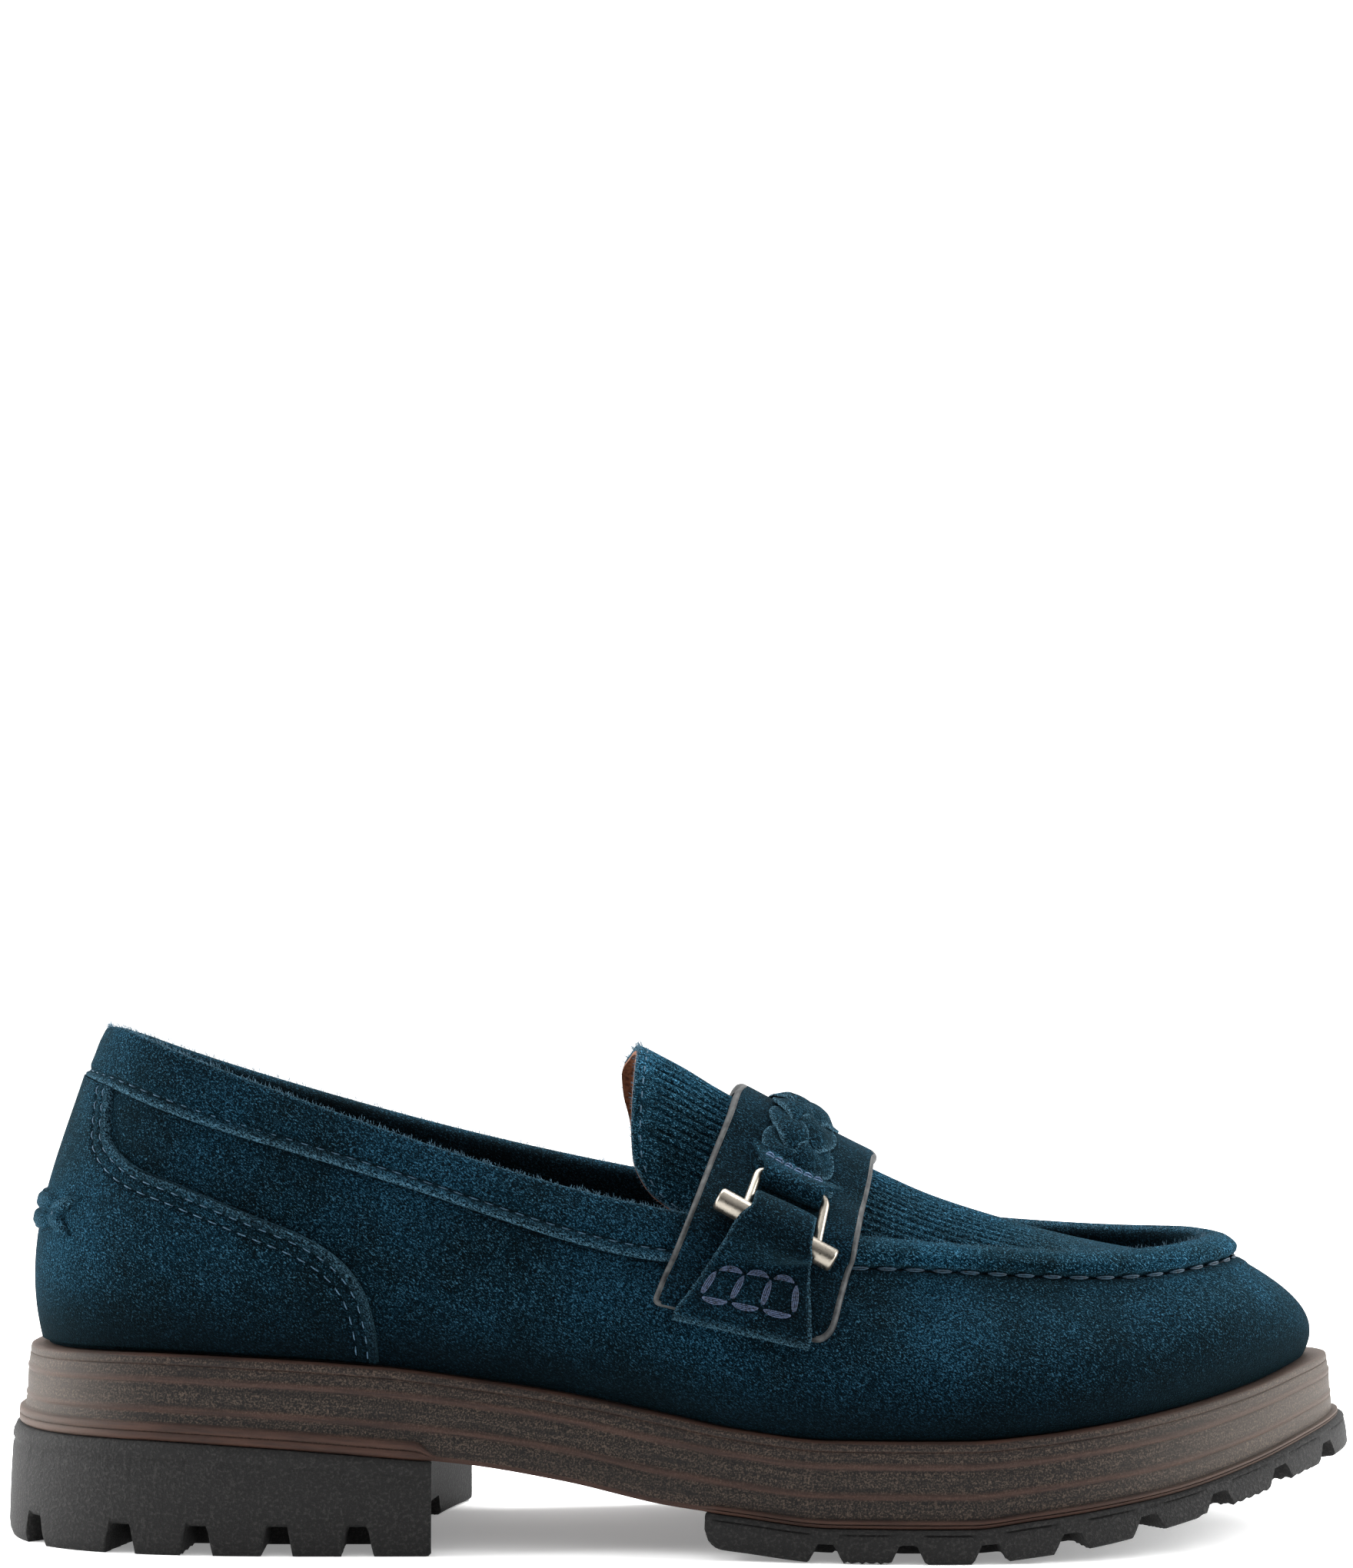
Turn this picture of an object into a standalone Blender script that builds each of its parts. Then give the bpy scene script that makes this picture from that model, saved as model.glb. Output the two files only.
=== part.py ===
"""Lug sole loafer for a right foot, as an assembly of separate solids.

Frame: metres, +X to the toe, +Y to the inner side of the foot, +Z up. The floor is z = 0 and the origin
lies under the middle of the shoe. Tables and sizes are in millimetres, and MM turns them into metres.
Positions round the shoe, called s, count stations: 0 is the heel back, 0 to 8 the outer side, 8 the toe
tip and 8 to 16 the inner side.
"""

import math

import bmesh
import bpy
import numpy as np
from mathutils import Matrix, Vector

MM = 0.001
STATIONS = 16
UP = np.array([0.0, 0.0, 1.0])


def table(names, rows):
    """Columns of a table by name."""
    return dict(zip(names.split(), np.array(rows, float).T))


# Driving sizes
GAP = 0.3
WALL = 2.0
EDGE_INSET = 4.8
INSOLE_THICK = 3.6
LAST_LEAN = 0.36
APRON_THICK = 2.0
TONGUE_THICK = 2.2
STRAP_THICK = 2.4
STRAP_CLEAR = 0.8
STRAP_OVER_TONGUE = 1.4
SHOULDERS = (0.80, 0.55, 0.28)
OVERLAY = 1.2
HEEL_TAB_THICK = 0.8

# Edge of the outsole in plan, on the outer and the inner side, from heel back to toe tip
OUTLINE = table("out_x out_y in_x in_y", [
    (-140.6, -1.5, -140.6, -1.5),
    (-130.0, -26.0, -130.0, 23.0),
    (-99.0, -37.0, -99.0, 34.0),
    (-55.0, -38.0, -55.0, 34.0),
    (-10.0, -40.0, -6.0, 37.0),
    (40.0, -47.2, 48.0, 47.0),
    (88.0, -42.5, 97.0, 43.0),
    (124.0, -23.5, 129.0, 27.0),
    (140.5, 3.0, 140.5, 3.0),
])

# Heights along the sole: lug bottoms, joint of outsole and midsole, and the deck that carries the upper
SIDE = table("x floor joint deck", [
    (-142.0, 0.0, 23.4, 39.2),
    (-111.0, 0.0, 23.0, 39.9),
    (-88.0, 0.0, 21.9, 39.2),
    (-61.0, 0.0, 19.8, 37.4),
    (-44.0, 0.0, 18.2, 35.2),
    (-24.0, 3.4, 14.9, 32.2),
    (-3.0, 3.2, 10.4, 28.2),
    (11.0, 1.8, 8.7, 25.5),
    (30.0, 0.0, 6.8, 23.6),
    (58.0, 0.0, 6.8, 23.6),
    (70.0, 1.1, 8.2, 24.4),
    (84.0, 3.0, 10.0, 26.0),
    (101.0, 6.6, 12.8, 28.7),
    (117.0, 10.7, 17.0, 32.0),
    (130.0, 14.6, 21.2, 35.3),
    (142.0, 17.4, 24.6, 37.3),
])

# Upper by station: the band seam in space, the band's height and inward lean, the shelf left on the deck,
# and how far the lower wall and the shoulder under the seam swell outwards
UPPER = table("out_x out_y in_x in_y seam_z band_h lean shelf low shoulder", [
    (-124.0, -1.5, -124.0, -1.5, 94.9, 9.8, 3.2, 3.4, 5.3, 6.6),
    (-117.0, -17.0, -117.0, 14.0, 94.2, 9.8, 2.8, 3.4, 5.0, 6.2),
    (-97.0, -27.0, -97.0, 24.5, 87.3, 9.8, 2.4, 3.2, 4.5, 5.0),
    (-53.0, -31.5, -53.0, 29.5, 73.3, 9.9, 2.2, 2.4, 4.0, 4.5),
    (-8.0, -34.0, -6.0, 32.5, 61.4, 10.2, 3.0, 2.2, 5.0, 6.0),
    (38.5, -31.0, 42.0, 32.5, 58.4, 6.4, 4.0, 2.2, 6.5, 9.0),
    (84.0, -25.5, 88.0, 28.5, 55.8, 5.5, 4.3, 3.0, 6.0, 12.0),
    (108.0, -13.5, 109.5, 18.0, 56.5, 5.1, 4.4, 4.5, 4.5, 12.5),
    (116.5, 2.5, 116.5, 2.5, 56.5, 5.0, 4.5, 5.3, 4.0, 12.5),
])

# Section over the band, from the seam over the crest to the inside: inward and upward from the seam, each
# as a length plus a share of the band's lean or height. Collar rows lie inside the binding.
COLLAR_ROWS = table("inward lean upward height", [
    (1.6, 0.00, 0.3, 0.00),
    (1.6, 0.25, 0.0, 0.25),
    (1.6, 0.50, 0.0, 0.50),
    (1.6, 0.80, -1.8, 0.90),
    (1.7, 0.90, -1.8, 1.00),
    (3.0, 0.90, -1.8, 1.00),
    (3.4, 0.50, -1.0, 0.60),
    (3.6, 0.25, 0.0, 0.25),
    (3.6, 0.00, 0.0, 0.00),
])
RIM_ROWS = table("inward lean upward height", [
    (1.2, 0.0, 0.2, 0.00),
    (-0.3, 0.0, 0.8, 0.10),
    (-0.6, 0.0, 0.0, 0.50),
    (0.4, 0.2, 0.0, 0.85),
    (0.0, 1.0, 0.0, 1.00),
    (2.0, 1.0, 0.0, 0.85),
    (3.0, 1.0, 0.0, 0.45),
    (3.0, 1.0, -0.8, 0.00),
    (3.0, 1.0, -4.2, 0.00),
])
BINDING_ROWS = table("inward lean upward height", [
    (1.3, 0.00, 0.7, 0.00),
    (-0.6, 0.00, 0.5, 0.00),
    (-0.8, 0.25, 0.0, 0.28),
    (-0.6, 0.55, 0.0, 0.62),
    (0.0, 0.85, 0.0, 0.90),
    (1.2, 0.95, 0.0, 1.00),
    (2.8, 0.95, 0.0, 1.00),
    (4.5, 0.90, 0.0, 0.85),
    (5.2, 0.50, 0.0, 0.50),
    (5.1, 0.25, 0.0, 0.22),
    (4.0, 0.25, 0.0, 0.22),
    (3.8, 0.50, -1.0, 0.62),
    (3.4, 0.90, -1.4, 1.00),
    (1.3, 0.90, -1.4, 1.00),
    (1.3, 0.50, 0.0, 0.50),
])
COLLAR_END = 4.35
RIM_START = 4.75
BINDING_END = 4.2

# Apron and tongue along the instep: ridge height, and the tongue's half width, edge height and cut
CROWN = table("x ridge half edge share", [
    (-10.5, 101.6, 24.0, 64.0, 0.55),
    (-8.0, 100.7, 24.0, 64.0, 0.78),
    (-4.0, 98.7, 24.0, 64.0, 0.90),
    (1.0, 96.0, 24.0, 63.5, 1.00),
    (7.0, 92.3, 24.0, 63.0, 1.00),
    (26.0, 82.0, 24.0, 60.0, 1.00),
    (43.0, 73.6, 24.0, 57.5, 1.00),
    (52.5, 69.4, 24.0, 56.5, 1.00),
    (64.5, 65.4, 24.0, 55.5, 1.00),
    (82.0, 60.6, 24.0, 55.0, 1.00),
    (96.0, 57.8, 24.0, 55.0, 1.00),
    (112.0, 55.4, 24.0, 55.3, 1.00),
])
CROWN_POWER = 2.4
APRON_REAR = 27.0
TONGUE_FRONT = 26.4
EMBED = 2.4

# Midsole edge from its foot to the deck: inset from the outsole and share of the midsole's height
MIDSOLE_EDGE = table("inset share", [
    (2.0, 0.00),
    (2.0, 0.07),
    (3.2, 0.12),
    (3.5, 0.31),
    (3.9, 0.33),
    (3.4, 0.35),
    (3.4, 0.39),
    (3.9, 0.41),
    (3.9, 0.66),
    (4.3, 0.68),
    (3.8, 0.70),
    (3.8, 0.74),
    (4.3, 0.76),
    (4.5, 0.94),
    (4.8, 1.00),
])
OUTSOLE_EDGE = table("inset share", [
    (0.7, 0.00),
    (0.0, 0.12),
    (0.4, 0.60),
    (0.8, 0.90),
    (1.7, 1.00),
])

# Heel block and forefoot outsole: stations where the edge is cut, bow of the cut, and the side notches
HEEL_CUT = (-3.20, 3.10)
HEEL_BOW = -5.5
FORE_CUT = (4.30, 11.82)
FORE_BOW = 5.0
HEEL_NOTCHES = (14.9, 31.2, 47.6, 63.8, 86.0)
FORE_NOTCH_START = 24.5
FORE_NOTCHES = 8
NOTCH = {
    "heel": {"foot": 6.4, "top": 4.2, "deep": 6.0, "long": 17.0},
    "fore": {"foot": 7.0, "top": 3.4, "deep": 3.6, "long": 15.0},
}
NOTCH_BELOW = 3.0
NOTCH_PAST_EDGE = 2.0
HEEL_POCKET = {"x": -74.0, "y": 0.5, "long": 72.0, "wide": 26.0, "deep": 4.4}
FORE_GROOVES = {"x": (22.0, 38.0, 54.0, 70.0, 86.0), "long": 44.0, "wide": 5.0, "deep": 3.0}

# Counter's upper edge in side view, and the heel tab's outline seen from behind. The cutters reach past.
COUNTER_EDGE = table("x z", [
    (-117.2, 93.0),
    (-117.4, 84.5),
    (-112.7, 78.5),
    (-102.7, 74.5),
    (-87.9, 68.7),
    (-75.2, 63.5),
    (-68.0, 58.3),
    (-63.6, 51.2),
    (-61.8, 43.0),
    (-61.5, 34.0),
])
HEEL_TAB_EDGE = table("y z", [
    (-21.0, 62.6),
    (-1.5, 63.8),
    (18.0, 62.6),
    (16.0, 67.0),
    (18.0, 71.4),
    (-1.5, 70.4),
    (-21.0, 71.4),
    (-19.0, 67.0),
])

CUT_PAST = 160.0
CUT_SIDE = 80.0
CUT_BEHIND = (-160.0, -100.0)
COUNTER_S = 3.4
COUNTER_V = (0.04, 0.985)
HEEL_TAB_S = 1.2
HEEL_TAB_V = (0.2, 0.75)

# Saddle strap: ends and crown of its rear and front edge in side view
STRAP_EDGE = table("end_x end_z crown_x crown_z", [
    (-5.6, 51.1, 12.2, 93.1),
    (29.8, 42.9, 40.0, 78.3),
])

# Strap's way over the band, from the seam to the crest: out and up from the seam, and the shares of the
# band's lean, over the collar and over the rim, and of its height that come off or on
STRAP_OVER_BAND = table("out collar_lean rim_lean up height", [
    (1.7, 0.00, 0.00, 0.5, 0.00),
    (1.8, 0.50, 0.12, 0.0, 0.65),
    (0.6, 1.00, 1.00, 1.1, 1.00),
])
STRAP_AT_SEAM_Z = 60.0
STRAP_BELOW_SEAM = 1.5
STRAP_ON_WALL = (0.0, 0.5)

# Toggle, link, tab and braid on the strap: d runs up from the strap's end, w across it from rear to front
BAR_RADIUS = 2.4
BAR_LENGTH = 26.8
BAR_D = 19.0
BAR_W = 0.50
TILT = table("d skew", [
    (0.0, 0.0),
    (19.0, 10.4),
    (29.0, 12.5),
    (58.0, 0.0),
])
LINK_RADIUS = 0.9
LINK_SPREAD = 15.4
LINK_W = 0.53
FOLD_D = 29.0
TAB_FOOT = 26.5
TAB_HEAD = 11.4
TAB_W = (0.49, 0.55)
TAB_SLACK = 1.0
BRAID_HALF = table("past_fold half", [
    (-4.0, 6.1),
    (1.8, 6.1),
    (9.0, 9.4),
    (26.0, 8.4),
])
BRAID_W = (0.53, 0.45)
BRAID_THICK = 1.2
BRAID_RISE = 1.5
STRANDS = 3


def through(x, xs, ys):
    """Smooth curve through a table's points: cubic pieces whose slopes never overshoot the data."""
    xs = np.asarray(xs, float)
    ys = np.asarray(ys, float)
    flat = ys.reshape(len(xs), -1)
    step = np.diff(xs)[:, None]
    slope = np.diff(flat, axis=0) / step
    product = slope[:-1] * slope[1:]
    total = slope[:-1] + slope[1:]
    inner = np.where(product > 0, 2 * product / np.where(product > 0, total, 1), 0)
    slopes = np.vstack([slope[:1], inner, slope[-1:]])
    x = np.clip(np.asarray(x, float), xs[0], xs[-1])
    k = np.clip(np.searchsorted(xs, x.ravel(), side="right") - 1, 0, len(xs) - 2)
    h = step[k]
    t = (x.ravel()[:, None] - xs[k][:, None]) / h
    value = (flat[k] * (1 + 2 * t) * (1 - t) ** 2 + flat[k + 1] * t * t * (3 - 2 * t)
             + h * (slopes[k] * t * (1 - t) ** 2 - slopes[k + 1] * t * t * (1 - t)))
    return value.reshape(x.shape + ys.shape[1:])


def closed(outer, inner, s):
    """Periodic cubic through one value per station, the outer side's then the inner side's, at s."""
    values = np.concatenate([outer, inner[-2:0:-1]])
    eye = np.eye(STATIONS)
    system = 4 * eye + np.roll(eye, 1, axis=1) + np.roll(eye, -1, axis=1)
    slopes = np.linalg.solve(system, 3 * (np.roll(values, -1) - np.roll(values, 1)))
    s = np.asarray(s, float)
    low = np.floor(s).astype(int)
    t = s - low
    a, b = low % STATIONS, (low + 1) % STATIONS
    return (values[a] * (1 + 2 * t) * (1 - t) ** 2 + values[b] * t * t * (3 - 2 * t)
            + slopes[a] * t * (1 - t) ** 2 - slopes[b] * t * t * (1 - t))


def both(column, s):
    """A column of the upper's table that is the same on both sides."""
    return closed(UPPER[column], UPPER[column], s)


def outline(s):
    """Outsole edge in plan."""
    x = closed(OUTLINE["out_x"], OUTLINE["in_x"], s)
    y = closed(OUTLINE["out_y"], OUTLINE["in_y"], s)
    return np.stack([x, y], -1)


def outward(s):
    """Level unit vector out of the shoe, square to the outsole edge."""
    step = 0.01
    run = outline(np.asarray(s) + step) - outline(np.asarray(s) - step)
    normal = np.stack([run[..., 1], -run[..., 0], np.zeros(run.shape[:-1])], -1)
    return normal / np.linalg.norm(normal, axis=-1, keepdims=True)


def plan(s, inset):
    """Outsole edge moved inwards by an inset, at z = 0."""
    flat = outline(s)
    point = np.concatenate([flat, np.zeros(flat.shape[:-1] + (1,))], -1)
    return point - outward(s) * np.asarray(inset)[..., None]


def level(column, x):
    """A height of the sole at x."""
    return through(x, SIDE["x"], SIDE[column])


def on_level(points, column, lift=0.0):
    """Points in plan raised to one of the sole's heights."""
    points = points.copy()
    points[..., 2] = level(column, points[..., 0]) + lift
    return points


def feather(s):
    """Foot of the upper's wall on the deck."""
    return on_level(plan(s, EDGE_INSET + both("shelf", s)), "deck", GAP)


def seam(s):
    """Line where the wall meets the collar band or the moccasin rim."""
    x = closed(UPPER["out_x"], UPPER["in_x"], s)
    y = closed(UPPER["out_y"], UPPER["in_y"], s)
    return np.stack([x, y, both("seam_z", s)], -1)


def wall(s, v):
    """Wall of the upper: at each s a cubic arc from the feather (v = 0) to the seam (v = 1)."""
    s, v = np.broadcast_arrays(np.asarray(s, float), np.asarray(v, float))
    foot, top, out = feather(s), seam(s), outward(s)
    rise = LAST_LEAN * (top - foot)[..., 2:] * UP
    low = foot + out * both("low", s)[..., None] + rise
    high = top + out * both("shoulder", s)[..., None] - rise
    t = v[..., None]
    return foot * (1 - t) ** 3 + 3 * low * t * (1 - t) ** 2 + 3 * high * t * t * (1 - t) + top * t ** 3


def wall_off(s, v, distance):
    """Wall moved along its outward normal."""
    step = 0.002
    s, v = np.broadcast_arrays(np.asarray(s, float), np.asarray(v, float))
    along = wall(s + step, v) - wall(s - step, v)
    rising = wall(s, v + step) - wall(s, v - step)
    normal = np.cross(along, rising)
    return wall(s, v) + distance * normal / np.linalg.norm(normal, axis=-1, keepdims=True)


def band(s, rows):
    """Section over the band at each s, by the rows of a band table."""
    s = np.asarray(s, float)[None, :]
    column = {name: values[:, None] for name, values in rows.items()}
    inward = column["inward"] + column["lean"] * both("lean", s)
    upward = column["upward"] + column["height"] * both("band_h", s)
    return seam(s) - outward(s) * inward[..., None] + upward[..., None] * UP


def rim_share(s):
    """0 along the collar, 1 along the moccasin rim, eased under the strap."""
    from_heel = np.minimum(s % STATIONS, STATIONS - s % STATIONS)
    t = np.clip((from_heel - COLLAR_END) / (RIM_START - COLLAR_END), 0, 1)
    return t * t * (3 - 2 * t)


def apron_edge(x, side):
    """Inner foot of the moccasin rim at x, on one side (-1 outer, 1 inner)."""
    s = np.linspace(RIM_START - 0.3, STATIONS / 2, 90)
    foot = band(s if side < 0 else STATIONS - s, RIM_ROWS)[-2]
    return through(x, foot[:, 0], foot[:, 1:])


def apron_span(x):
    """Middle, half width and foot height of the apron at x, its edges let into the rim."""
    outer, inner = apron_edge(x, -1), apron_edge(x, 1)
    outer_y, inner_y = outer[..., 0] - EMBED, inner[..., 0] + EMBED
    return (outer_y + inner_y) / 2, (inner_y - outer_y) / 2, (outer[..., 1] + inner[..., 1]) / 2 - 0.4


def apron(x, share):
    """Apron: an arch across the shoe from rim to rim, share running -1 to 1 from outer to inner edge."""
    middle, half, foot = apron_span(x)
    y = middle + share * half
    ridge = through(x, CROWN["x"], CROWN["ridge"])
    return np.stack([x, y, foot + np.maximum(ridge - foot, 0) * (1 - np.abs(share) ** CROWN_POWER)], -1)


def tongue(x, share):
    """Tongue: the apron's arch carried on behind the strap, cut back at its end."""
    half = through(x, CROWN["x"], CROWN["half"])
    foot = through(x, CROWN["x"], CROWN["edge"])
    ridge = through(x, CROWN["x"], CROWN["ridge"])
    part = share * through(x, CROWN["x"], CROWN["share"])
    return np.stack([x, part * half, foot + (ridge - foot) * (1 - np.abs(part) ** CROWN_POWER)], -1)


def wall_at(x, z, side):
    """Position (s, v) on one side's wall at a given x and z."""
    s = np.linspace(3.4, 5.8, 97)
    s = s if side < 0 else STATIONS - s
    v = np.linspace(0, 1, 61)
    heights = wall(s[:, None], v[None, :])[..., 2]
    at_height = np.array([np.interp(z, column, v) for column in heights])
    run = wall(s, at_height)[:, 0]
    return np.interp(x, run, s), np.interp(x, run, at_height)


def band_at(x, side):
    """Position s of one side's seam at a given x."""
    s = np.linspace(3.4, 5.8, 97)
    s = s if side < 0 else STATIONS - s
    return np.interp(x, seam(s)[:, 0], s)


def saddle_nodes(w):
    """Points that the strap's under side passes at a share w of its width, from outer to inner end."""
    end_x, end_z, crown_x, crown_z = (STRAP_EDGE[c][0] + w * (STRAP_EDGE[c][1] - STRAP_EDGE[c][0])
                                      for c in ("end_x", "end_z", "crown_x", "crown_z"))

    def lean_to(z):
        return end_x + (crown_x - end_x) * (z - end_z) / (crown_z - end_z)

    halves = []
    for side in (-1, 1):
        s_seam = band_at(lean_to(STRAP_AT_SEAM_Z), side)
        top, out, on_rim = seam(s_seam), outward(s_seam), rim_share(s_seam)
        points = []
        for share in STRAP_ON_WALL:
            z = end_z + share * (top[2] - STRAP_BELOW_SEAM - end_z)
            s_wall, v_wall = wall_at(lean_to(z), z, side)
            points.append(wall_off(s_wall, v_wall, STRAP_CLEAR * (1 + share)))
        for outwards, collar_lean, rim_lean, upwards, height in zip(*STRAP_OVER_BAND.values()):
            inwards = (collar_lean + (rim_lean - collar_lean) * on_rim) * both("lean", s_seam)
            point = top + out * (outwards - inwards) + UP * (upwards + height * both("band_h", s_seam))
            point[0] = lean_to(point[2])
            points.append(point)
        for share in SHOULDERS:
            over = points[-1]
            for _ in range(5):
                x = np.array(lean_to(over[2]))
                under = tongue(x, np.array(share * side))
                middle, half, _ = apron_span(x)
                in_front = apron(x, (under[1] - middle) / half)
                over = np.maximum(under, in_front) * UP + under * (1 - UP) + UP * STRAP_OVER_TONGUE
            points.append(over)
        halves.append(points)
    crown = np.array([crown_x, 0.0, crown_z - STRAP_THICK])
    return np.array(halves[0] + [crown] + halves[1][::-1])


SADDLE = np.stack([saddle_nodes(w) for w in (0.0, 0.5, 1.0)], 1)
SADDLE_D = np.concatenate([[0.0], np.cumsum(np.linalg.norm(np.diff(SADDLE[:, 1], axis=0), axis=1))])
STRAP_LENGTH = SADDLE_D[-1]


def saddle_base(d, w):
    """Under side of the strap at a distance d from its outer end and a share w of its width."""
    lines = through(d, SADDLE_D, SADDLE)
    weight = np.stack([2 * (w - 0.5) * (w - 1), 4 * w * (1 - w), 2 * w * (w - 0.5)], -1)
    return np.sum(lines * weight[..., None], axis=-2)


def saddle(d, w, lift):
    """Point at a height lift over the strap's under side."""
    d, w, lift = np.broadcast_arrays(np.asarray(d, float), np.asarray(w, float), np.asarray(lift, float))
    step_d, step_w = 0.5, 0.02
    inside = np.clip(d, step_d, STRAP_LENGTH - step_d)
    up_strap = saddle_base(inside + step_d, w) - saddle_base(inside - step_d, w)
    across = saddle_base(d, w + step_w) - saddle_base(d, w - step_w)
    normal = np.cross(across, up_strap)
    normal /= np.linalg.norm(normal, axis=-1, keepdims=True)
    past = (d - np.clip(d, 0, STRAP_LENGTH))[..., None] * up_strap / (2 * step_d)
    return saddle_base(d, w) + lift[..., None] * normal + past


def strap_width(d):
    """Width of the strap in millimetres at d."""
    return np.linalg.norm(saddle_base(d, np.ones_like(d)) - saddle_base(d, np.zeros_like(d)), axis=-1)


def tilted(d, w):
    """Distance along the strap of a place whose level lines tilt forwards over the toggle."""
    d, w = np.broadcast_arrays(np.asarray(d, float), np.asarray(w, float))
    skew = through(np.minimum(d, STRAP_LENGTH - d), TILT["d"], TILT["skew"])
    return d + np.where(d < STRAP_LENGTH / 2, skew, -skew) * (0.5 - w)


def on_side(d, side):
    """Distance from the outer end of a place given as a distance from one side's own end."""
    return d if side < 0 else STRAP_LENGTH - d


for old in list(bpy.data.objects):
    bpy.data.objects.remove(old)
parts = bpy.data.collections.new("lug_sole_loafer")
cutters = bpy.data.collections.new("cutters")
for collection in (parts, cutters):
    bpy.context.scene.collection.children.link(collection)


def material(name, colour, roughness, metallic=0.0):
    """Principled material with one colour."""
    made = bpy.data.materials.new(name)
    made.use_nodes = True
    shader = made.node_tree.nodes["Principled BSDF"]
    shader.inputs["Base Color"].default_value = (*colour, 1.0)
    shader.inputs["Roughness"].default_value = roughness
    shader.inputs["Metallic"].default_value = metallic
    return made


def add(name, mesh, look=None):
    """Object of a mesh: a part where it has a material, a hidden cutter where it has none."""
    made = bpy.data.objects.new(name, mesh)
    if look:
        mesh.materials.append(look)
        mesh.shade_smooth()
        mesh.set_sharp_from_angle(angle=math.radians(40))
        parts.objects.link(made)
    else:
        made.hide_render = True
        made.display_type = "WIRE"
        cutters.objects.link(made)
    return made


def mesh_from(name, points, faces):
    """Mesh of points in millimetres."""
    mesh = bpy.data.meshes.new(name)
    mesh.from_pydata((np.reshape(points, (-1, 3)) * MM).tolist(), [], faces)
    return mesh


def grid_faces(rows, columns, wrap_rows=False, wrap_columns=False):
    """Quads over a grid of points, facing columns x rows."""
    faces = []
    for r in range(rows if wrap_rows else rows - 1):
        for c in range(columns if wrap_columns else columns - 1):
            r2, c2 = (r + 1) % rows, (c + 1) % columns
            faces.append((r * columns + c, r * columns + c2, r2 * columns + c2, r2 * columns + c))
    return faces


def strip_cap(first, count, up):
    """Faces across a loop of points, each pair of places the same way from the loop's start and end."""
    faces = []
    for i in range(count // 2):
        ring = [i, i + 1, (count - i - 1) % count, (count - i) % count]
        ring = [first + k for k in dict.fromkeys(ring)]
        faces.append(ring if up else ring[::-1])
    return faces


def loft(name, loops, look=None):
    """Closed solid through a stack of loops, lowest first."""
    rows, columns = len(loops), len(loops[0])
    faces = grid_faces(rows, columns, wrap_columns=True)
    faces += strip_cap(0, columns, False)
    faces += strip_cap((rows - 1) * columns, columns, True)
    return add(name, mesh_from(name, np.array(loops), faces), look)


def shell(name, points, thickness, look=None, outwards=True):
    """Sheet of an even thickness on one side of a grid surface."""
    rows, columns = points.shape[:2]
    made = add(name, mesh_from(name, points, grid_faces(rows, columns)), look)
    solid = made.modifiers.new("thickness", "SOLIDIFY")
    solid.thickness = thickness * MM
    solid.offset = 1.0 if outwards else -1.0
    return made


def sheet(name, under, over, look):
    """Closed sheet between two grids of points, for a thickness that varies."""
    rows, columns = under.shape[:2]
    count = rows * columns
    faces = [face[::-1] for face in grid_faces(rows, columns)]
    faces += [tuple(count + k for k in face) for face in grid_faces(rows, columns)]
    edge = [c for c in range(columns - 1)]
    edge += [r * columns + columns - 1 for r in range(rows - 1)]
    edge += [(rows - 1) * columns + c for c in range(columns - 1, 0, -1)]
    edge += [r * columns for r in range(rows - 1, 0, -1)]
    for a, b in zip(edge, edge[1:] + edge[:1]):
        faces.append((a, b, count + b, count + a))
    points = np.concatenate([under.reshape(-1, 3), over.reshape(-1, 3)])
    return add(name, mesh_from(name, points, faces), look)


def combine(target, operand, operation, solver="EXACT"):
    """Boolean of a part with a hidden operand."""
    cut = target.modifiers.new(operation.lower(), "BOOLEAN")
    cut.operation = operation
    cut.solver = solver
    cut.object = operand


def prism(name, outline_points, depth_axis, low, high):
    """Straight prism over a flat outline, along one axis, as a hidden cutter."""
    count = len(outline_points)
    ends = [np.insert(outline_points, depth_axis, depth, axis=1) for depth in (low, high)]
    faces = [tuple(range(count))[::-1], tuple(range(count, 2 * count))]
    faces += [(i, (i + 1) % count, count + (i + 1) % count, count + i) for i in range(count)]
    mesh = mesh_from(name, np.concatenate(ends), faces)
    tidy = bmesh.new()
    tidy.from_mesh(mesh)
    bmesh.ops.recalc_face_normals(tidy, faces=tidy.faces)
    tidy.to_mesh(mesh)
    tidy.free()
    return add(name, mesh)


SUEDE = (0.007, 0.034, 0.065)
suede = material("teal_suede", SUEDE, 0.95)
suede_binding = material("binding_suede", SUEDE, 0.95)
suede_overlay = material("overlay_suede", SUEDE, 0.95)
suede_tab = material("heel_tab_suede", SUEDE, 0.95)
suede_tongue = material("tongue_suede", SUEDE, 0.95)
suede_strap = material("strap_suede", SUEDE, 0.95)
suede_braid = material("braid_suede", SUEDE, 0.95)
suede_strap_tab = material("strap_tab_suede", SUEDE, 0.95)
brown_rubber = material("brown_midsole", (0.062, 0.042, 0.034), 0.75)
black_rubber = material("black_heel_rubber", (0.026, 0.026, 0.027), 0.8)
black_tread = material("black_tread_rubber", (0.026, 0.026, 0.027), 0.8)
tan_leather = material("tan_insole", (0.33, 0.16, 0.08), 0.7)
nickel = material("satin_nickel", (0.62, 0.60, 0.57), 0.28, 1.0)

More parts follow.
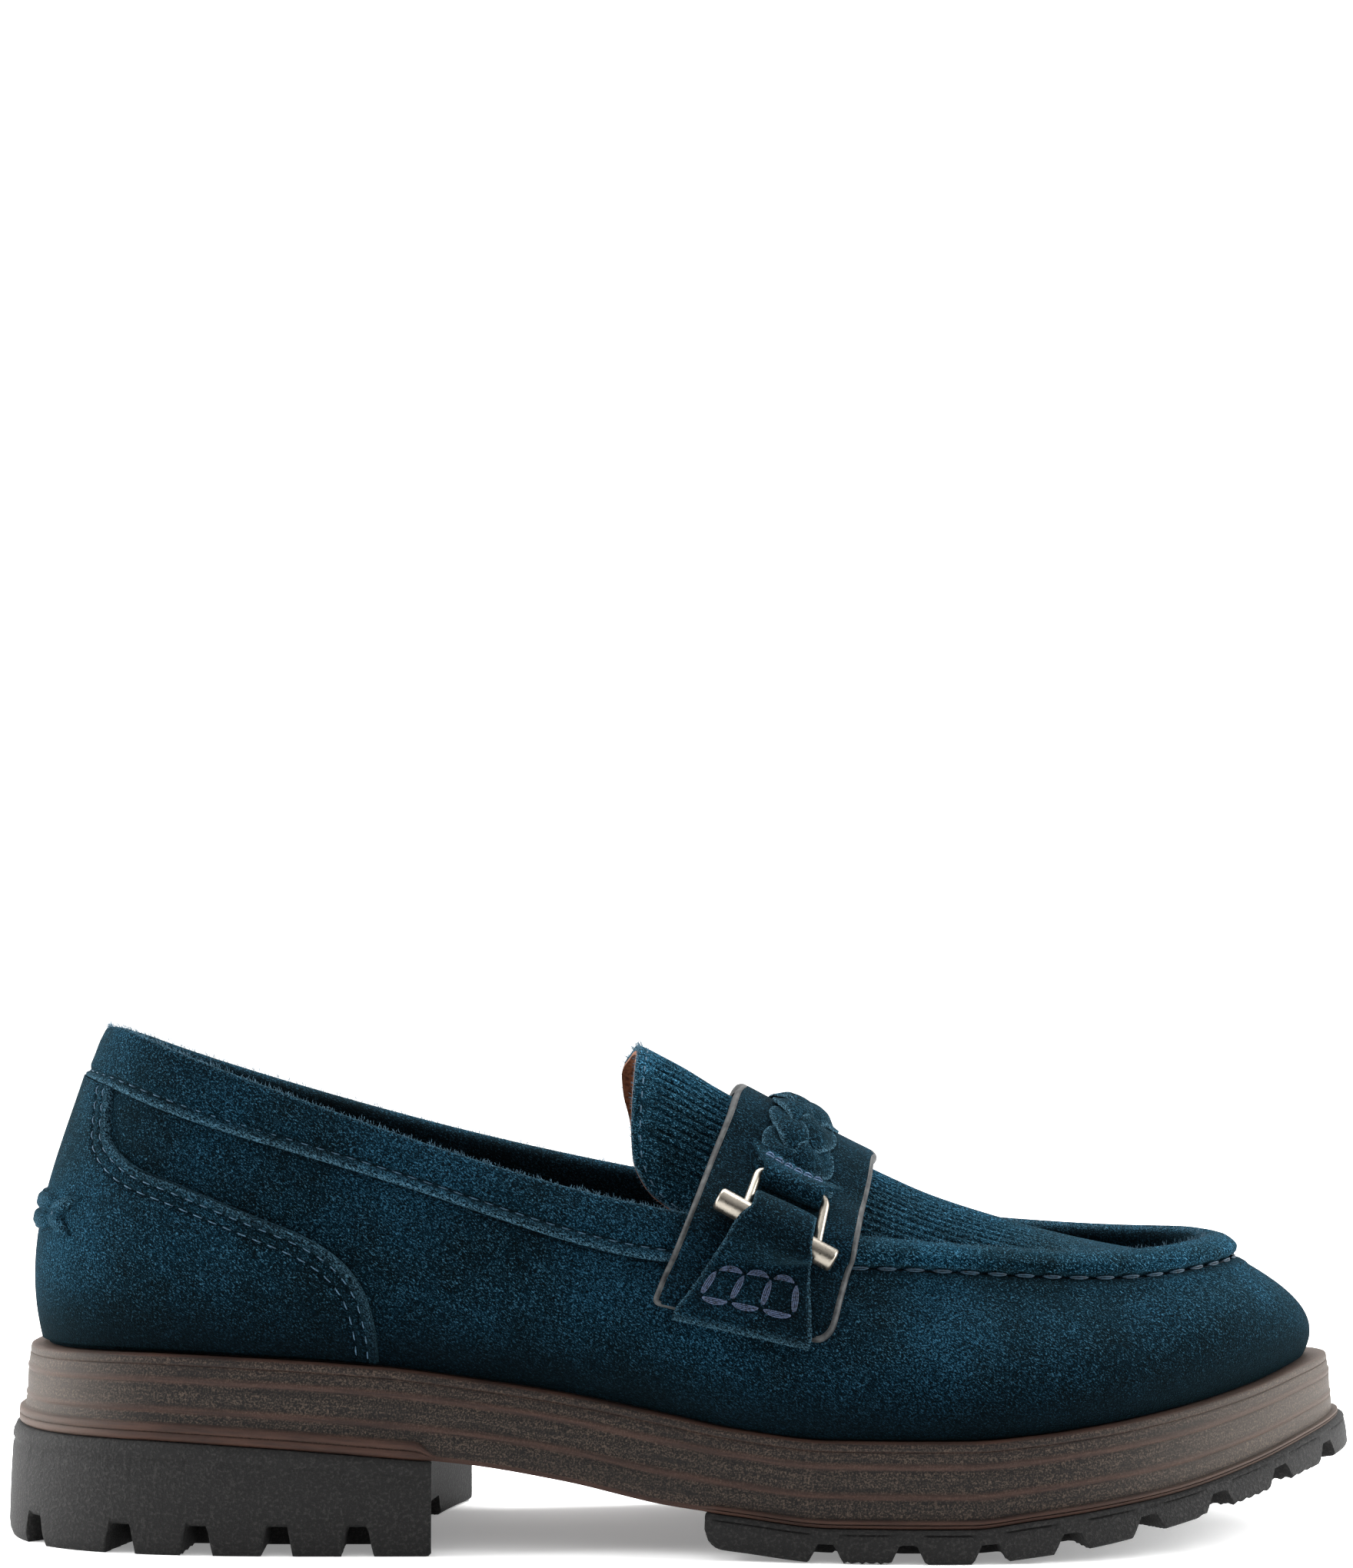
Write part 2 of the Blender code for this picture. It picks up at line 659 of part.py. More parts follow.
# Midsole: stacked edge from the outsole joint up to the deck
COLUMNS = 56
around = np.arange(COLUMNS) * STATIONS / COLUMNS
midsole_loops = []
for inset, share in zip(MIDSOLE_EDGE["inset"], MIDSOLE_EDGE["share"]):
    ring = plan(around, np.full(COLUMNS, inset))
    low = level("joint", ring[:, 0])
    ring[:, 2] = low + share * (level("deck", ring[:, 0]) - low)
    midsole_loops.append(ring)
loft("midsole", midsole_loops, brown_rubber)

# Insole on the deck, inside the wall
insole_inset = EDGE_INSET + both("shelf", around) + WALL + 2 * GAP
insole_plan = plan(around, insole_inset)
insole_loops = [on_level(insole_plan, "deck", lift) for lift in (2 * GAP, 2 * GAP + INSOLE_THICK)]
loft("insole", insole_loops, tan_leather)


def tread_loop(cut, bow, count, inset, share):
    """Loop round one end of the outsole, closed by a bowed line, starting at that line's middle."""
    s = np.linspace(cut[0], cut[1], count)
    ring = plan(s, np.full(count, inset))
    t = np.linspace(0, 1, 7)[1:-1, None]
    closing = ring[-1] * (1 - t) + ring[0] * t
    closing[:, 0] += bow * 4 * t[:, 0] * (1 - t[:, 0])
    ring = np.concatenate([ring, closing])
    low, high = level("floor", ring[:, 0]), level("joint", ring[:, 0]) - GAP
    ring[:, 2] = low + share * (high - low)
    return np.roll(ring, len(closing) // 2 + 1, axis=0)


def edge_places(s_from, s_to, distances):
    """Positions s at given distances along the outsole edge."""
    s = np.linspace(s_from, s_to, 400)
    run = np.concatenate([[0.0], np.cumsum(np.linalg.norm(np.diff(outline(s), axis=0), axis=1))])
    return np.interp(distances, run, s), run[-1]


def notch_cutter(name, places, kind):
    """Tapered blocks that cut the side notches square to the edge, and a pocket or grooves in the middle."""
    size = NOTCH[kind]
    spots = [(plan(s, np.array(size["long"] / 2 - NOTCH_PAST_EDGE)), outward(s), size) for s in places]
    if kind == "heel":
        spots.append((np.array([HEEL_POCKET["x"], HEEL_POCKET["y"]]), np.array([1.0, 0.0]), HEEL_POCKET))
    else:
        spots += [(np.array([x, 0.0]), np.array([0.0, 1.0]), FORE_GROOVES) for x in FORE_GROOVES["x"]]
    blocks = bmesh.new()
    for centre, out, size in spots:
        made = bmesh.ops.create_cube(blocks, size=1.0)["verts"]
        turn = Matrix.Rotation(math.atan2(out[1], out[0]), 3, "Z")
        floor = float(level("floor", centre[0]))
        for vert in made:
            over = vert.co.z > 0
            wide = size.get("wide") or (size["top"] if over else size["foot"])
            high = floor + (size["deep"] if over else -NOTCH_BELOW)
            spot = turn @ Vector((vert.co.x * size["long"], vert.co.y * wide, 0.0))
            vert.co = (Vector((centre[0], centre[1], high)) + spot) * MM
    mesh = bpy.data.meshes.new(name)
    blocks.to_mesh(mesh)
    blocks.free()
    return add(name, mesh)


# Heel block and forefoot outsole, with their side notches
for name, kind, cut, bow, count, look in (
        ("heel_block", "heel", HEEL_CUT, HEEL_BOW, 33, black_rubber),
        ("forefoot_outsole", "fore", FORE_CUT, FORE_BOW, 45, black_tread)):
    loops = [tread_loop(cut, bow, count, inset, share)
             for inset, share in zip(OUTSOLE_EDGE["inset"], OUTSOLE_EDGE["share"])]
    block = loft(name, loops, look)
    places = []
    for side in (0, 1):
        start, stop = (cut[1], 0.0) if kind == "heel" else (cut[0], STATIONS / 2)
        if side:
            start, stop = (cut[0], 0.0) if kind == "heel" else (cut[1], STATIONS / 2)
        length = edge_places(start, stop, 0.0)[1]
        steps = np.arange(FORE_NOTCHES) / FORE_NOTCHES
        distances = HEEL_NOTCHES if kind == "heel" else FORE_NOTCH_START + steps * (length - FORE_NOTCH_START)
        places += list(edge_places(start, stop, distances)[0])
    combine(block, notch_cutter(name + "_notches", places, kind), "DIFFERENCE", "MANIFOLD")

# Upper: a closed ring of wall and band, joined to the apron
rim = rim_share(around)[None, :, None]
outer_wall = wall(around[None, :], np.linspace(0, 1, 8)[:, None])
edge = band(around, COLLAR_ROWS) * (1 - rim) + band(around, RIM_ROWS) * rim
inner_wall = wall_off(around[None, :], np.linspace(0.9, 0, 6)[:, None], -WALL)
ring = np.concatenate([outer_wall, edge, inner_wall])
upper = add("upper", mesh_from("upper", ring, grid_faces(len(ring), COLUMNS, True, True)), suede)
apron_front = float(band(np.array([STATIONS / 2]), RIM_ROWS)[-2, 0, 0]) - 0.5
apron_x = APRON_REAR + (apron_front - APRON_REAR) * np.sin(np.linspace(0, 1, 13) * math.pi / 2)
apron_grid = apron(apron_x[None, :] * np.ones((13, 1)), np.linspace(-1, 1, 13)[:, None] * np.ones((1, 13)))
combine(upper, shell("apron", apron_grid, APRON_THICK, outwards=False), "UNION")

# Tongue, carried on from the apron under the strap
tongue_x = np.concatenate([CROWN["x"][:4], np.linspace(CROWN["x"][4], TONGUE_FRONT, 3)])
tongue_grid = tongue(tongue_x[None, :] * np.ones((13, 1)), np.linspace(-1, 1, 13)[:, None] * np.ones((1, 7)))
shell("tongue", tongue_grid, TONGUE_THICK, suede_tongue, outwards=False)

# Collar binding: a closed section swept round the top line from strap to strap
collar = np.linspace(-BINDING_END, BINDING_END, 33)
binding_grid = band(collar, BINDING_ROWS)
binding_rows = len(binding_grid)
binding_faces = grid_faces(binding_rows, len(collar), wrap_rows=True)
binding_faces.append([r * len(collar) for r in range(binding_rows)])
binding_faces.append([r * len(collar) + len(collar) - 1 for r in range(binding_rows)][::-1])
add("collar_binding", mesh_from("collar_binding", binding_grid, binding_faces), suede_binding)

# Heel counter and heel tab: shells of the wall cut to their outlines
heel_s = np.linspace(-COUNTER_S, COUNTER_S, 29)
counter_v = np.linspace(*COUNTER_V, 7)
counter = shell("heel_counter", wall_off(heel_s[None, :], counter_v[:, None], GAP), OVERLAY, suede_overlay)
counter_outline = np.stack([COUNTER_EDGE["x"], COUNTER_EDGE["z"]], 1)
behind = np.array([(-CUT_PAST, COUNTER_EDGE["z"][-1]), (-CUT_PAST, COUNTER_EDGE["z"][0])])
counter_outline = np.concatenate([counter_outline, behind])
combine(counter, prism("counter_outline", counter_outline, 1, -CUT_SIDE, CUT_SIDE), "INTERSECT")
tab_s = np.linspace(-HEEL_TAB_S, HEEL_TAB_S, 15)
tab_v = np.linspace(*HEEL_TAB_V, 7)
tab_points = wall_off(tab_s[None, :], tab_v[:, None], 2 * GAP + OVERLAY)
heel_tab = shell("heel_tab", tab_points, HEEL_TAB_THICK, suede_tab)
tab_outline = np.stack([HEEL_TAB_EDGE["y"], HEEL_TAB_EDGE["z"]], 1)
combine(heel_tab, prism("heel_tab_outline", tab_outline, 0, *CUT_BEHIND), "INTERSECT")

# Saddle strap over the instep
strap_d = np.linspace(0, STRAP_LENGTH, 29)
strap_w = np.linspace(0, 1, 5)
shell("saddle_strap", saddle_base(strap_d[:, None] + 0 * strap_w, 0 * strap_d[:, None] + strap_w),
      STRAP_THICK, suede_strap)

ON_STRAP = STRAP_THICK + GAP
BAR_LIFT = ON_STRAP + BAR_RADIUS + 0.4
FOLD_RADIUS = LINK_RADIUS + 0.4
FOLD_LIFT = ON_STRAP + FOLD_RADIUS + BRAID_THICK


def place(d, w, lift, side):
    """One point over the strap, by its distance from one side's end."""
    return saddle(tilted(on_side(d, side), w), np.array(w), np.array(lift))


def toggle(name, side):
    """Toggle bar joined to its link, a round wire bow that ends inside the bar."""
    half = BAR_LENGTH / 2
    wide = float(strap_width(np.array(on_side(BAR_D, side))))
    ends = [place(BAR_D, BAR_W + sign * half / wide, BAR_LIFT, side) for sign in (-1, 1)]
    middle = (ends[0] + ends[1]) / 2
    axis = (ends[1] - ends[0]) / np.linalg.norm(ends[1] - ends[0])
    turn = Vector((0, 0, 1)).rotation_difference(Vector(axis)).to_matrix().to_4x4()
    solid = bmesh.new()
    bmesh.ops.create_cone(solid, cap_ends=True, segments=18, radius1=BAR_RADIUS * MM, radius2=BAR_RADIUS * MM,
                          depth=BAR_LENGTH * MM, matrix=Matrix.Translation(Vector(middle) * MM) @ turn)
    mesh = bpy.data.meshes.new(name)
    solid.to_mesh(mesh)
    solid.free()
    bar = add(name, mesh, nickel)
    rounded = bar.modifiers.new("round ends", "BEVEL")
    rounded.width = 0.5 * MM
    rounded.segments = 2
    rounded.limit_method = "ANGLE"
    wide = float(strap_width(np.array(on_side(FOLD_D, side))))
    shares = [LINK_W - LINK_SPREAD / 2 / wide, LINK_W + LINK_SPREAD / 2 / wide]
    corners = [place(BAR_D, shares[0], BAR_LIFT, side), place(FOLD_D, shares[0], FOLD_LIFT, side),
               place(FOLD_D, shares[1], FOLD_LIFT, side), place(BAR_D, shares[1], BAR_LIFT, side)]
    for foot in (0, 3):
        corners[foot] = middle + axis * np.dot(corners[foot] - middle, axis)
    wire = bpy.data.curves.new(name + "_link", "CURVE")
    wire.dimensions = "3D"
    wire.bevel_depth = LINK_RADIUS * MM
    wire.bevel_resolution = 2
    wire.use_fill_caps = True
    run = wire.splines.new("POLY")
    run.points.add(len(corners) - 1)
    for point, corner in zip(run.points, corners):
        point.co = (*(Vector(corner) * MM), 1.0)
    curve = bpy.data.objects.new(name + "_link_curve", wire)
    cutters.objects.link(curve)
    bpy.context.view_layer.update()
    mesh = bpy.data.meshes.new_from_object(curve.evaluated_get(bpy.context.evaluated_depsgraph_get()))
    bpy.data.objects.remove(curve)
    caps = bmesh.new()
    caps.from_mesh(mesh)
    bmesh.ops.remove_doubles(caps, verts=caps.verts, dist=0.00001)
    bmesh.ops.recalc_face_normals(caps, faces=caps.faces)
    caps.to_mesh(mesh)
    caps.free()
    combine(bar, add(name + "_link", mesh), "UNION")


def strap_tab(name, side):
    """Tab from the strap's end up over the toggle bar, narrowing upwards and tucked in behind the bar."""
    reach = BAR_RADIUS + TAB_SLACK
    turns = np.radians(np.linspace(150, -30, 9))
    run = np.concatenate([np.linspace(0.6, BAR_D - 9.0, 3), BAR_D + reach * np.cos(turns)])
    lift = np.concatenate([np.full(3, ON_STRAP), BAR_LIFT + reach * np.sin(turns)])
    rise = np.clip(run / BAR_D, 0, 1)
    half = (TAB_FOOT + (TAB_HEAD - TAB_FOOT) * rise) / 2
    middle = TAB_W[0] + (TAB_W[1] - TAB_W[0]) * rise
    d = on_side(run, side)
    share = np.linspace(-1, 1, 4)
    w = middle[:, None] + share[None, :] * (half / strap_width(np.clip(d, 0, STRAP_LENGTH)))[:, None]
    points = saddle(tilted(d[:, None], w), w, lift[:, None])
    shell(name, points if side < 0 else points[:, ::-1], OVERLAY, suede_strap_tab)


for side, label in ((-1, "lateral"), (1, "medial")):
    toggle("toggle_" + label, side)
    strap_tab("strap_tab_" + label, side)

# Braid: one sheet over the crown with its strands raised, folded at both ends round the links
FOLD_TAIL = 6.0
FOLD_SETTLE = 13.0
PLAIT_PITCH = 22.0
PLAIT_SWAY = 0.62
STRAND_FALL = 3.2
half_length = STRAP_LENGTH / 2


def braid_side(radius, lift_on_plait):
    """Way of the braid's under or upper side from fold to fold: distance along the strap and lift."""
    turns = np.radians(np.linspace(270, 90, 7))
    plait = np.linspace(FOLD_D + FOLD_SETTLE, half_length, 9)
    tail = [FOLD_D + FOLD_TAIL]
    run = np.concatenate([tail, FOLD_D + radius * np.cos(turns), tail, plait])
    lift = np.concatenate([[FOLD_LIFT - radius], FOLD_LIFT + radius * np.sin(turns), [FOLD_LIFT + radius],
                           np.full(len(plait), lift_on_plait)])
    return np.concatenate([run, STRAP_LENGTH - run[-2::-1]]), np.concatenate([lift, lift[-2::-1]])


run_in, lift_in = braid_side(FOLD_RADIUS, ON_STRAP)
run_out, lift_out = braid_side(FOLD_RADIUS + BRAID_THICK, ON_STRAP + BRAID_THICK)
from_end = np.minimum(run_in, STRAP_LENGTH - run_in)
to_crown = np.clip((from_end - FOLD_D) / (half_length - FOLD_D), 0, 1)
half = through(from_end - FOLD_D, BRAID_HALF["past_fold"], BRAID_HALF["half"])
middle = BRAID_W[0] + (BRAID_W[1] - BRAID_W[0]) * to_crown
share = np.linspace(-1, 1, 8)
w = middle[:, None] + share[None, :] * (half / strap_width(run_in))[:, None]
on_plait = np.clip((from_end - FOLD_D - FOLD_TAIL) / (FOLD_SETTLE - FOLD_TAIL), 0, 1)[:, None]
phase = 2 * math.pi * (run_in[:, None] - half_length) / PLAIT_PITCH
strands = [1 - STRAND_FALL * (share[None, :] - PLAIT_SWAY * np.sin(phase + k * 2 * math.pi / STRANDS)) ** 2
           for k in range(STRANDS)]
raised = BRAID_RISE * on_plait * np.clip(np.max(strands, axis=0), 0, 1)
sheet("braid", saddle(tilted(run_in[:, None], w), w, lift_in[:, None]),
      saddle(tilted(run_out[:, None], w), w, lift_out[:, None] + raised), suede_braid)
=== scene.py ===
"""Suede loafer with a moccasin apron, a braided saddle strap on toggles and a lug sole, over its frame.

The sections follow the shoe as it is put together. Lengths are in millimetres and MM turns them into metres.
The toe is at +X, the outer side of the foot at -Y. A place s round the shoe counts stations: 0 is the heel
back, 0 to 8 the outer side, 8 the toe tip and 8 to 16 the inner side.
"""

import math

import bpy
import numpy as np
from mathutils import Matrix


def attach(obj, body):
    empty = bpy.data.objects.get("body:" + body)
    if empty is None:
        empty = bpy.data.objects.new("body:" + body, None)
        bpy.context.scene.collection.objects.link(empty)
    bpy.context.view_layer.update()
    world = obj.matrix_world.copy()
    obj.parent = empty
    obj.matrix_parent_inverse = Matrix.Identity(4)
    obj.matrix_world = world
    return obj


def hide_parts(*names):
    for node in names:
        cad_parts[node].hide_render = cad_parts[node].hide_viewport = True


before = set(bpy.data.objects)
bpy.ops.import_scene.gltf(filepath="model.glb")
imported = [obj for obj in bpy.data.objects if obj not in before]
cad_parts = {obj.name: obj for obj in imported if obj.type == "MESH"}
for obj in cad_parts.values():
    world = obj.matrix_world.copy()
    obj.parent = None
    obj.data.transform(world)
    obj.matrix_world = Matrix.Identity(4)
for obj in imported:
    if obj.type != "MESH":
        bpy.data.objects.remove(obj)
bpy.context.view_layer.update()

# Midsole. A moulded wedge of brown rubber under the whole shoe, its edge made to look like stacked leather:
# speckled layers between lighter stripes, a lip above the tread and a rounded deck edge. It is cast in one
# piece, and heel, tread and upper are cemented to it.
MM = 0.001
UP = np.array([0.0, 0.0, 1.0])
STATIONS = 16


def table(names, rows):
    """Columns of a table by name."""
    return dict(zip(names.split(), np.array(rows, float).T))


OUTLINE = table("out_x out_y in_x in_y", [
    (-140.6, -1.5, -140.6, -1.5),
    (-130.0, -26.0, -130.0, 23.0),
    (-99.0, -37.0, -99.0, 34.0),
    (-55.0, -38.0, -55.0, 34.0),
    (-10.0, -40.0, -6.0, 37.0),
    (40.0, -47.2, 48.0, 47.0),
    (88.0, -42.5, 97.0, 43.0),
    (124.0, -23.5, 129.0, 27.0),
    (140.5, 3.0, 140.5, 3.0),
])
SIDE = table("x floor joint deck", [
    (-142.0, 0.0, 23.4, 39.2),
    (-111.0, 0.0, 23.0, 39.9),
    (-88.0, 0.0, 21.9, 39.2),
    (-61.0, 0.0, 19.8, 37.4),
    (-44.0, 0.0, 18.2, 35.2),
    (-24.0, 3.4, 14.9, 32.2),
    (-3.0, 3.2, 10.4, 28.2),
    (11.0, 1.8, 8.7, 25.5),
    (30.0, 0.0, 6.8, 23.6),
    (58.0, 0.0, 6.8, 23.6),
    (70.0, 1.1, 8.2, 24.4),
    (84.0, 3.0, 10.0, 26.0),
    (101.0, 6.6, 12.8, 28.7),
    (117.0, 10.7, 17.0, 32.0),
    (130.0, 14.6, 21.2, 35.3),
    (142.0, 17.4, 24.6, 37.3),
])
MIDSOLE_EDGE = table("inset share", [
    (2.3, 0.000),
    (2.0, 0.015),
    (2.0, 0.050),
    (2.35, 0.060),
    (2.0, 0.070),
    (2.1, 0.105),
    (2.6, 0.118),
    (3.3, 0.125),
    (3.4, 0.240),
    (3.5, 0.310),
    (3.68, 0.330),
    (3.5, 0.348),
    (3.45, 0.370),
    (3.5, 0.392),
    (3.72, 0.412),
    (3.75, 0.500),
    (3.85, 0.660),
    (4.03, 0.678),
    (3.85, 0.698),
    (3.8, 0.720),
    (3.85, 0.742),
    (4.08, 0.762),
    (4.15, 0.820),
    (4.3, 0.880),
    (4.55, 0.893),
    (4.35, 0.906),
    (4.4, 0.950),
    (4.6, 0.985),
    (5.1, 1.000),
    (5.8, 1.005),
    (9.0, 1.000),
    (16.0, 1.000),
    (25.0, 1.000),
])
LIP_ROWS = 8
LIP = table("x high proud", [
    (-142.0, 1.75, 1.0),
    (-54.0, 1.70, 1.0),
    (-49.5, 0.45, 0.0),
    (3.0, 0.45, 0.0),
    (7.0, 0.75, 1.0),
    (142.0, 0.75, 1.0),
])
# Painted light: towards heel and toe the midsole is mixed up to a pale grey-brown, standing for the side
# lamps' light on its ends.
SIDE_LIT_ENDS = table("x_from x_to most", [
    (-105.0, -137.0, 0.36),
    (70.0, 145.0, 0.42),
])
MIDSOLE_COLUMNS = 640
SHARP = math.radians(62)
STREAK_SCALE = 70.0
LAYER_SCALE = 26.0
STRIPE_WANDER = 0.035
STRIPES = ((0.00, 1.0), (0.052, 1.0), (0.061, 0.3), (0.070, 1.0), (0.11, 0.9), (0.13, 0.1), (0.20, 0.0),
           (0.31, 0.0), (0.345, 0.75), (0.39, 0.6), (0.43, 0.0), (0.66, 0.0), (0.695, 0.75), (0.74, 0.6),
           (0.78, 0.0), (0.875, 0.1), (0.895, 0.4), (0.92, 0.1), (0.975, 0.1), (1.00, 0.9))


def through(x, xs, ys):
    """Smooth curve through points (xs, ys) at x: cubic pieces whose slopes never overshoot the points."""
    xs, ys = np.asarray(xs, float), np.asarray(ys, float)
    flat = ys.reshape(len(xs), -1)
    step = np.diff(xs)[:, None]
    slope = np.diff(flat, axis=0) / step
    product, total = slope[:-1] * slope[1:], slope[:-1] + slope[1:]
    inner = np.where(product > 0, 2 * product / np.where(product > 0, total, 1), 0)
    slopes = np.vstack([slope[:1], inner, slope[-1:]])
    x = np.clip(np.asarray(x, float), xs[0], xs[-1])
    k = np.clip(np.searchsorted(xs, x.ravel(), side="right") - 1, 0, len(xs) - 2)
    h = step[k]
    t = (x.ravel()[:, None] - xs[k][:, None]) / h
    value = (flat[k] * (1 + 2 * t) * (1 - t) ** 2 + flat[k + 1] * t * t * (3 - 2 * t)
             + h * (slopes[k] * t * (1 - t) ** 2 - slopes[k + 1] * t * t * (1 - t)))
    return value.reshape(x.shape + ys.shape[1:])


def periodic(values, t):
    """Closed cubic curve through evenly numbered values, the first at t = 0, its bend even at each."""
    values = np.asarray(values, float)
    eye = np.eye(len(values))
    system = 4 * eye + np.roll(eye, 1, axis=1) + np.roll(eye, -1, axis=1)
    slopes = np.linalg.solve(system, 3 * (np.roll(values, -1, axis=0) - np.roll(values, 1, axis=0)))
    t = np.asarray(t, float)
    low = np.floor(t).astype(int)
    f = (t - low).reshape(t.shape + (1,) * (values.ndim - 1))
    a, b = low % len(values), (low + 1) % len(values)
    return (values[a] * (1 + 2 * f) * (1 - f) ** 2 + values[b] * f * f * (3 - 2 * f)
            + slopes[a] * f * (1 - f) ** 2 - slopes[b] * f * f * (1 - f))


def round_shoe(outer, inner, s):
    """A value given at the stations of the outer and the inner side, at places s round the shoe."""
    return periodic(np.concatenate([outer, inner[-2:0:-1]]), s)


def smooth(t):
    """0 below 0, 1 above 1, and an even S between them."""
    t = np.clip(t, 0, 1)
    return t * t * (3 - 2 * t)


def unit(vectors):
    """Vectors of length 1."""
    return vectors / np.linalg.norm(vectors, axis=-1, keepdims=True)


def outline(s):
    """Edge of the outsole in plan, as points at z = 0."""
    x = round_shoe(OUTLINE["out_x"], OUTLINE["in_x"], s)
    y = round_shoe(OUTLINE["out_y"], OUTLINE["in_y"], s)
    return np.stack([x, y, np.zeros_like(x)], -1)


def outward(s):
    """Level unit vector out of the shoe, square to the edge of the outsole."""
    run = outline(np.asarray(s) + 0.01) - outline(np.asarray(s) - 0.01)
    return unit(np.stack([run[..., 1], -run[..., 0], run[..., 2]], -1))


def plan(s, inset):
    """Edge of the outsole moved inwards by an inset."""
    return outline(s) - outward(s) * np.asarray(inset)[..., None]


def level(column, x):
    """One of the sole's heights at x."""
    return through(x, SIDE["x"], SIDE[column])


def surface(name, grid, look, round_rows=False, round_columns=True, caps=True, fields=None):
    """Piece over a grid of points: a quad between each four neighbours, and across the loops of the first and
    last row strips of quads from each place to the one as far from the loop's other end. A closed piece is
    turned so that its volume is positive. fields are numbers kept on the points for the material."""
    rows, columns = grid.shape[:2]
    r, c = np.meshgrid(np.arange(rows if round_rows else rows - 1),
                       np.arange(columns if round_columns else columns - 1), indexing="ij")
    r2, c2 = (r + 1) % rows, (c + 1) % columns
    quads = [np.stack([r * columns + c, r * columns + c2, r2 * columns + c2, r2 * columns + c], -1)]
    if caps:
        i = np.arange(columns // 2 - 1)
        strip = np.stack([i, i + 1, columns - 2 - i, columns - 1 - i], -1)
        quads += [strip[:, ::-1], strip + (rows - 1) * columns]
    quads = np.concatenate([part.reshape(-1, 4) for part in quads])
    return piece_of(name, grid.reshape(-1, 3), quads, look, fields)


def piece_of(name, points, quads, look, fields=None):
    """Smooth-shaded object of points in millimetres and quads, its faces pointing out."""
    a, b, c, d = (points[quads[:, k]] for k in range(4))
    volume = np.sum(np.cross(a, b) * c) + np.sum(np.cross(a, c) * d)
    if volume < 0:
        quads = quads[:, ::-1]
    mesh = bpy.data.meshes.new(name)
    mesh.from_pydata((points * MM).tolist(), [], quads.tolist())
    mesh.shade_smooth()
    mesh.set_sharp_from_angle(angle=SHARP)
    for key, values in (fields or {}).items():
        kept = mesh.attributes.new(key, "FLOAT", "POINT").data
        kept.foreach_set("value", np.ravel(values).astype(np.float32))
    mesh.materials.append(look)
    piece = bpy.data.objects.new(name, mesh)
    bpy.context.scene.collection.objects.link(piece)
    return piece


def fit(piece, slot, *nodes):
    """Puts a piece on the shoe: it rides on the one body and stands for the frame's solids, which are hidden;
    the slot is not used.
    """
    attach(piece, "root")
    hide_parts(*nodes)


def srgb(red, green, blue):
    """Colour as seen on a screen, 0 to 255, turned into the linear values that shaders take."""
    value = np.array([red, green, blue]) / 255
    linear = np.where(value <= 0.04045, value / 12.92, ((value + 0.055) / 1.055) ** 2.4)
    return (*linear.tolist(), 1.0)


def blank_look(name, settings):
    """New material with its shader's settings, the node tree to wire, and the piece's own coordinates."""
    made = bpy.data.materials.new(name)
    made.use_nodes = True
    shader = made.node_tree.nodes["Principled BSDF"].inputs
    for key, value in settings.items():
        shader[key].default_value = value
    return made, made.node_tree, node(made.node_tree, "TexCoord", {}).outputs["Object"]


def wired(made, sockets):
    """The material with sockets linked to its shader's inputs."""
    shader = made.node_tree.nodes["Principled BSDF"].inputs
    for key, socket in sockets.items():
        made.node_tree.links.new(socket, shader[key])
    return made


def node(tree, kind, inputs, **settings):
    """New node with its settings, each input either linked to a socket or set to a value."""
    made = tree.nodes.new("ShaderNode" + kind)
    for key, value in settings.items():
        setattr(made, key, value)
    for key, value in inputs.items():
        if isinstance(value, bpy.types.NodeSocket):
            tree.links.new(value, made.inputs[key])
        else:
            made.inputs[key].default_value = value
    return made


def field(tree, name):
    """Numbers kept on the points of a piece."""
    return node(tree, "Attribute", {}, attribute_name=name).outputs["Fac"]


def noise(tree, vector, scale, detail=2.0, rough=0.5):
    """Cloudy noise, about 0.5 on average."""
    inputs = {"Vector": vector, "Scale": scale, "Detail": detail, "Roughness": rough}
    return node(tree, "TexNoise", inputs).outputs["Fac"]


def ramp(tree, factor, stops):
    """Colours along a factor, given as (place, colour) stops, or greys given as (place, number)."""
    made = node(tree, "ValToRGB", {"Fac": factor})
    elements = made.color_ramp.elements
    while len(elements) < len(stops):
        elements.new(1.0)
    for element, (place, colour) in zip(elements, stops):
        element.position = place
        element.color = colour if isinstance(colour, tuple) else (colour, colour, colour, 1.0)
    return made.outputs["Color"]


def mix(tree, factor, a, b, blend="MIX"):
    """Two colours mixed by a factor."""
    made = node(tree, "Mix", {0: factor, 6: a, 7: b}, data_type="RGBA", blend_type=blend)
    return made.outputs[2]


def sums(tree, operation, a, b, c=0.5):
    """One operation on two numbers, or on three."""
    return node(tree, "Math", {0: a, 1: b, 2: c}, operation=operation).outputs[0]


def bump(tree, height, distance, strength, under=None):
    """Normal from a height, laid over another bump where one is given."""
    inputs = {"Height": height, "Distance": distance * MM, "Strength": strength}
    if under:
        inputs["Normal"] = under
    return node(tree, "Bump", inputs).outputs["Normal"]


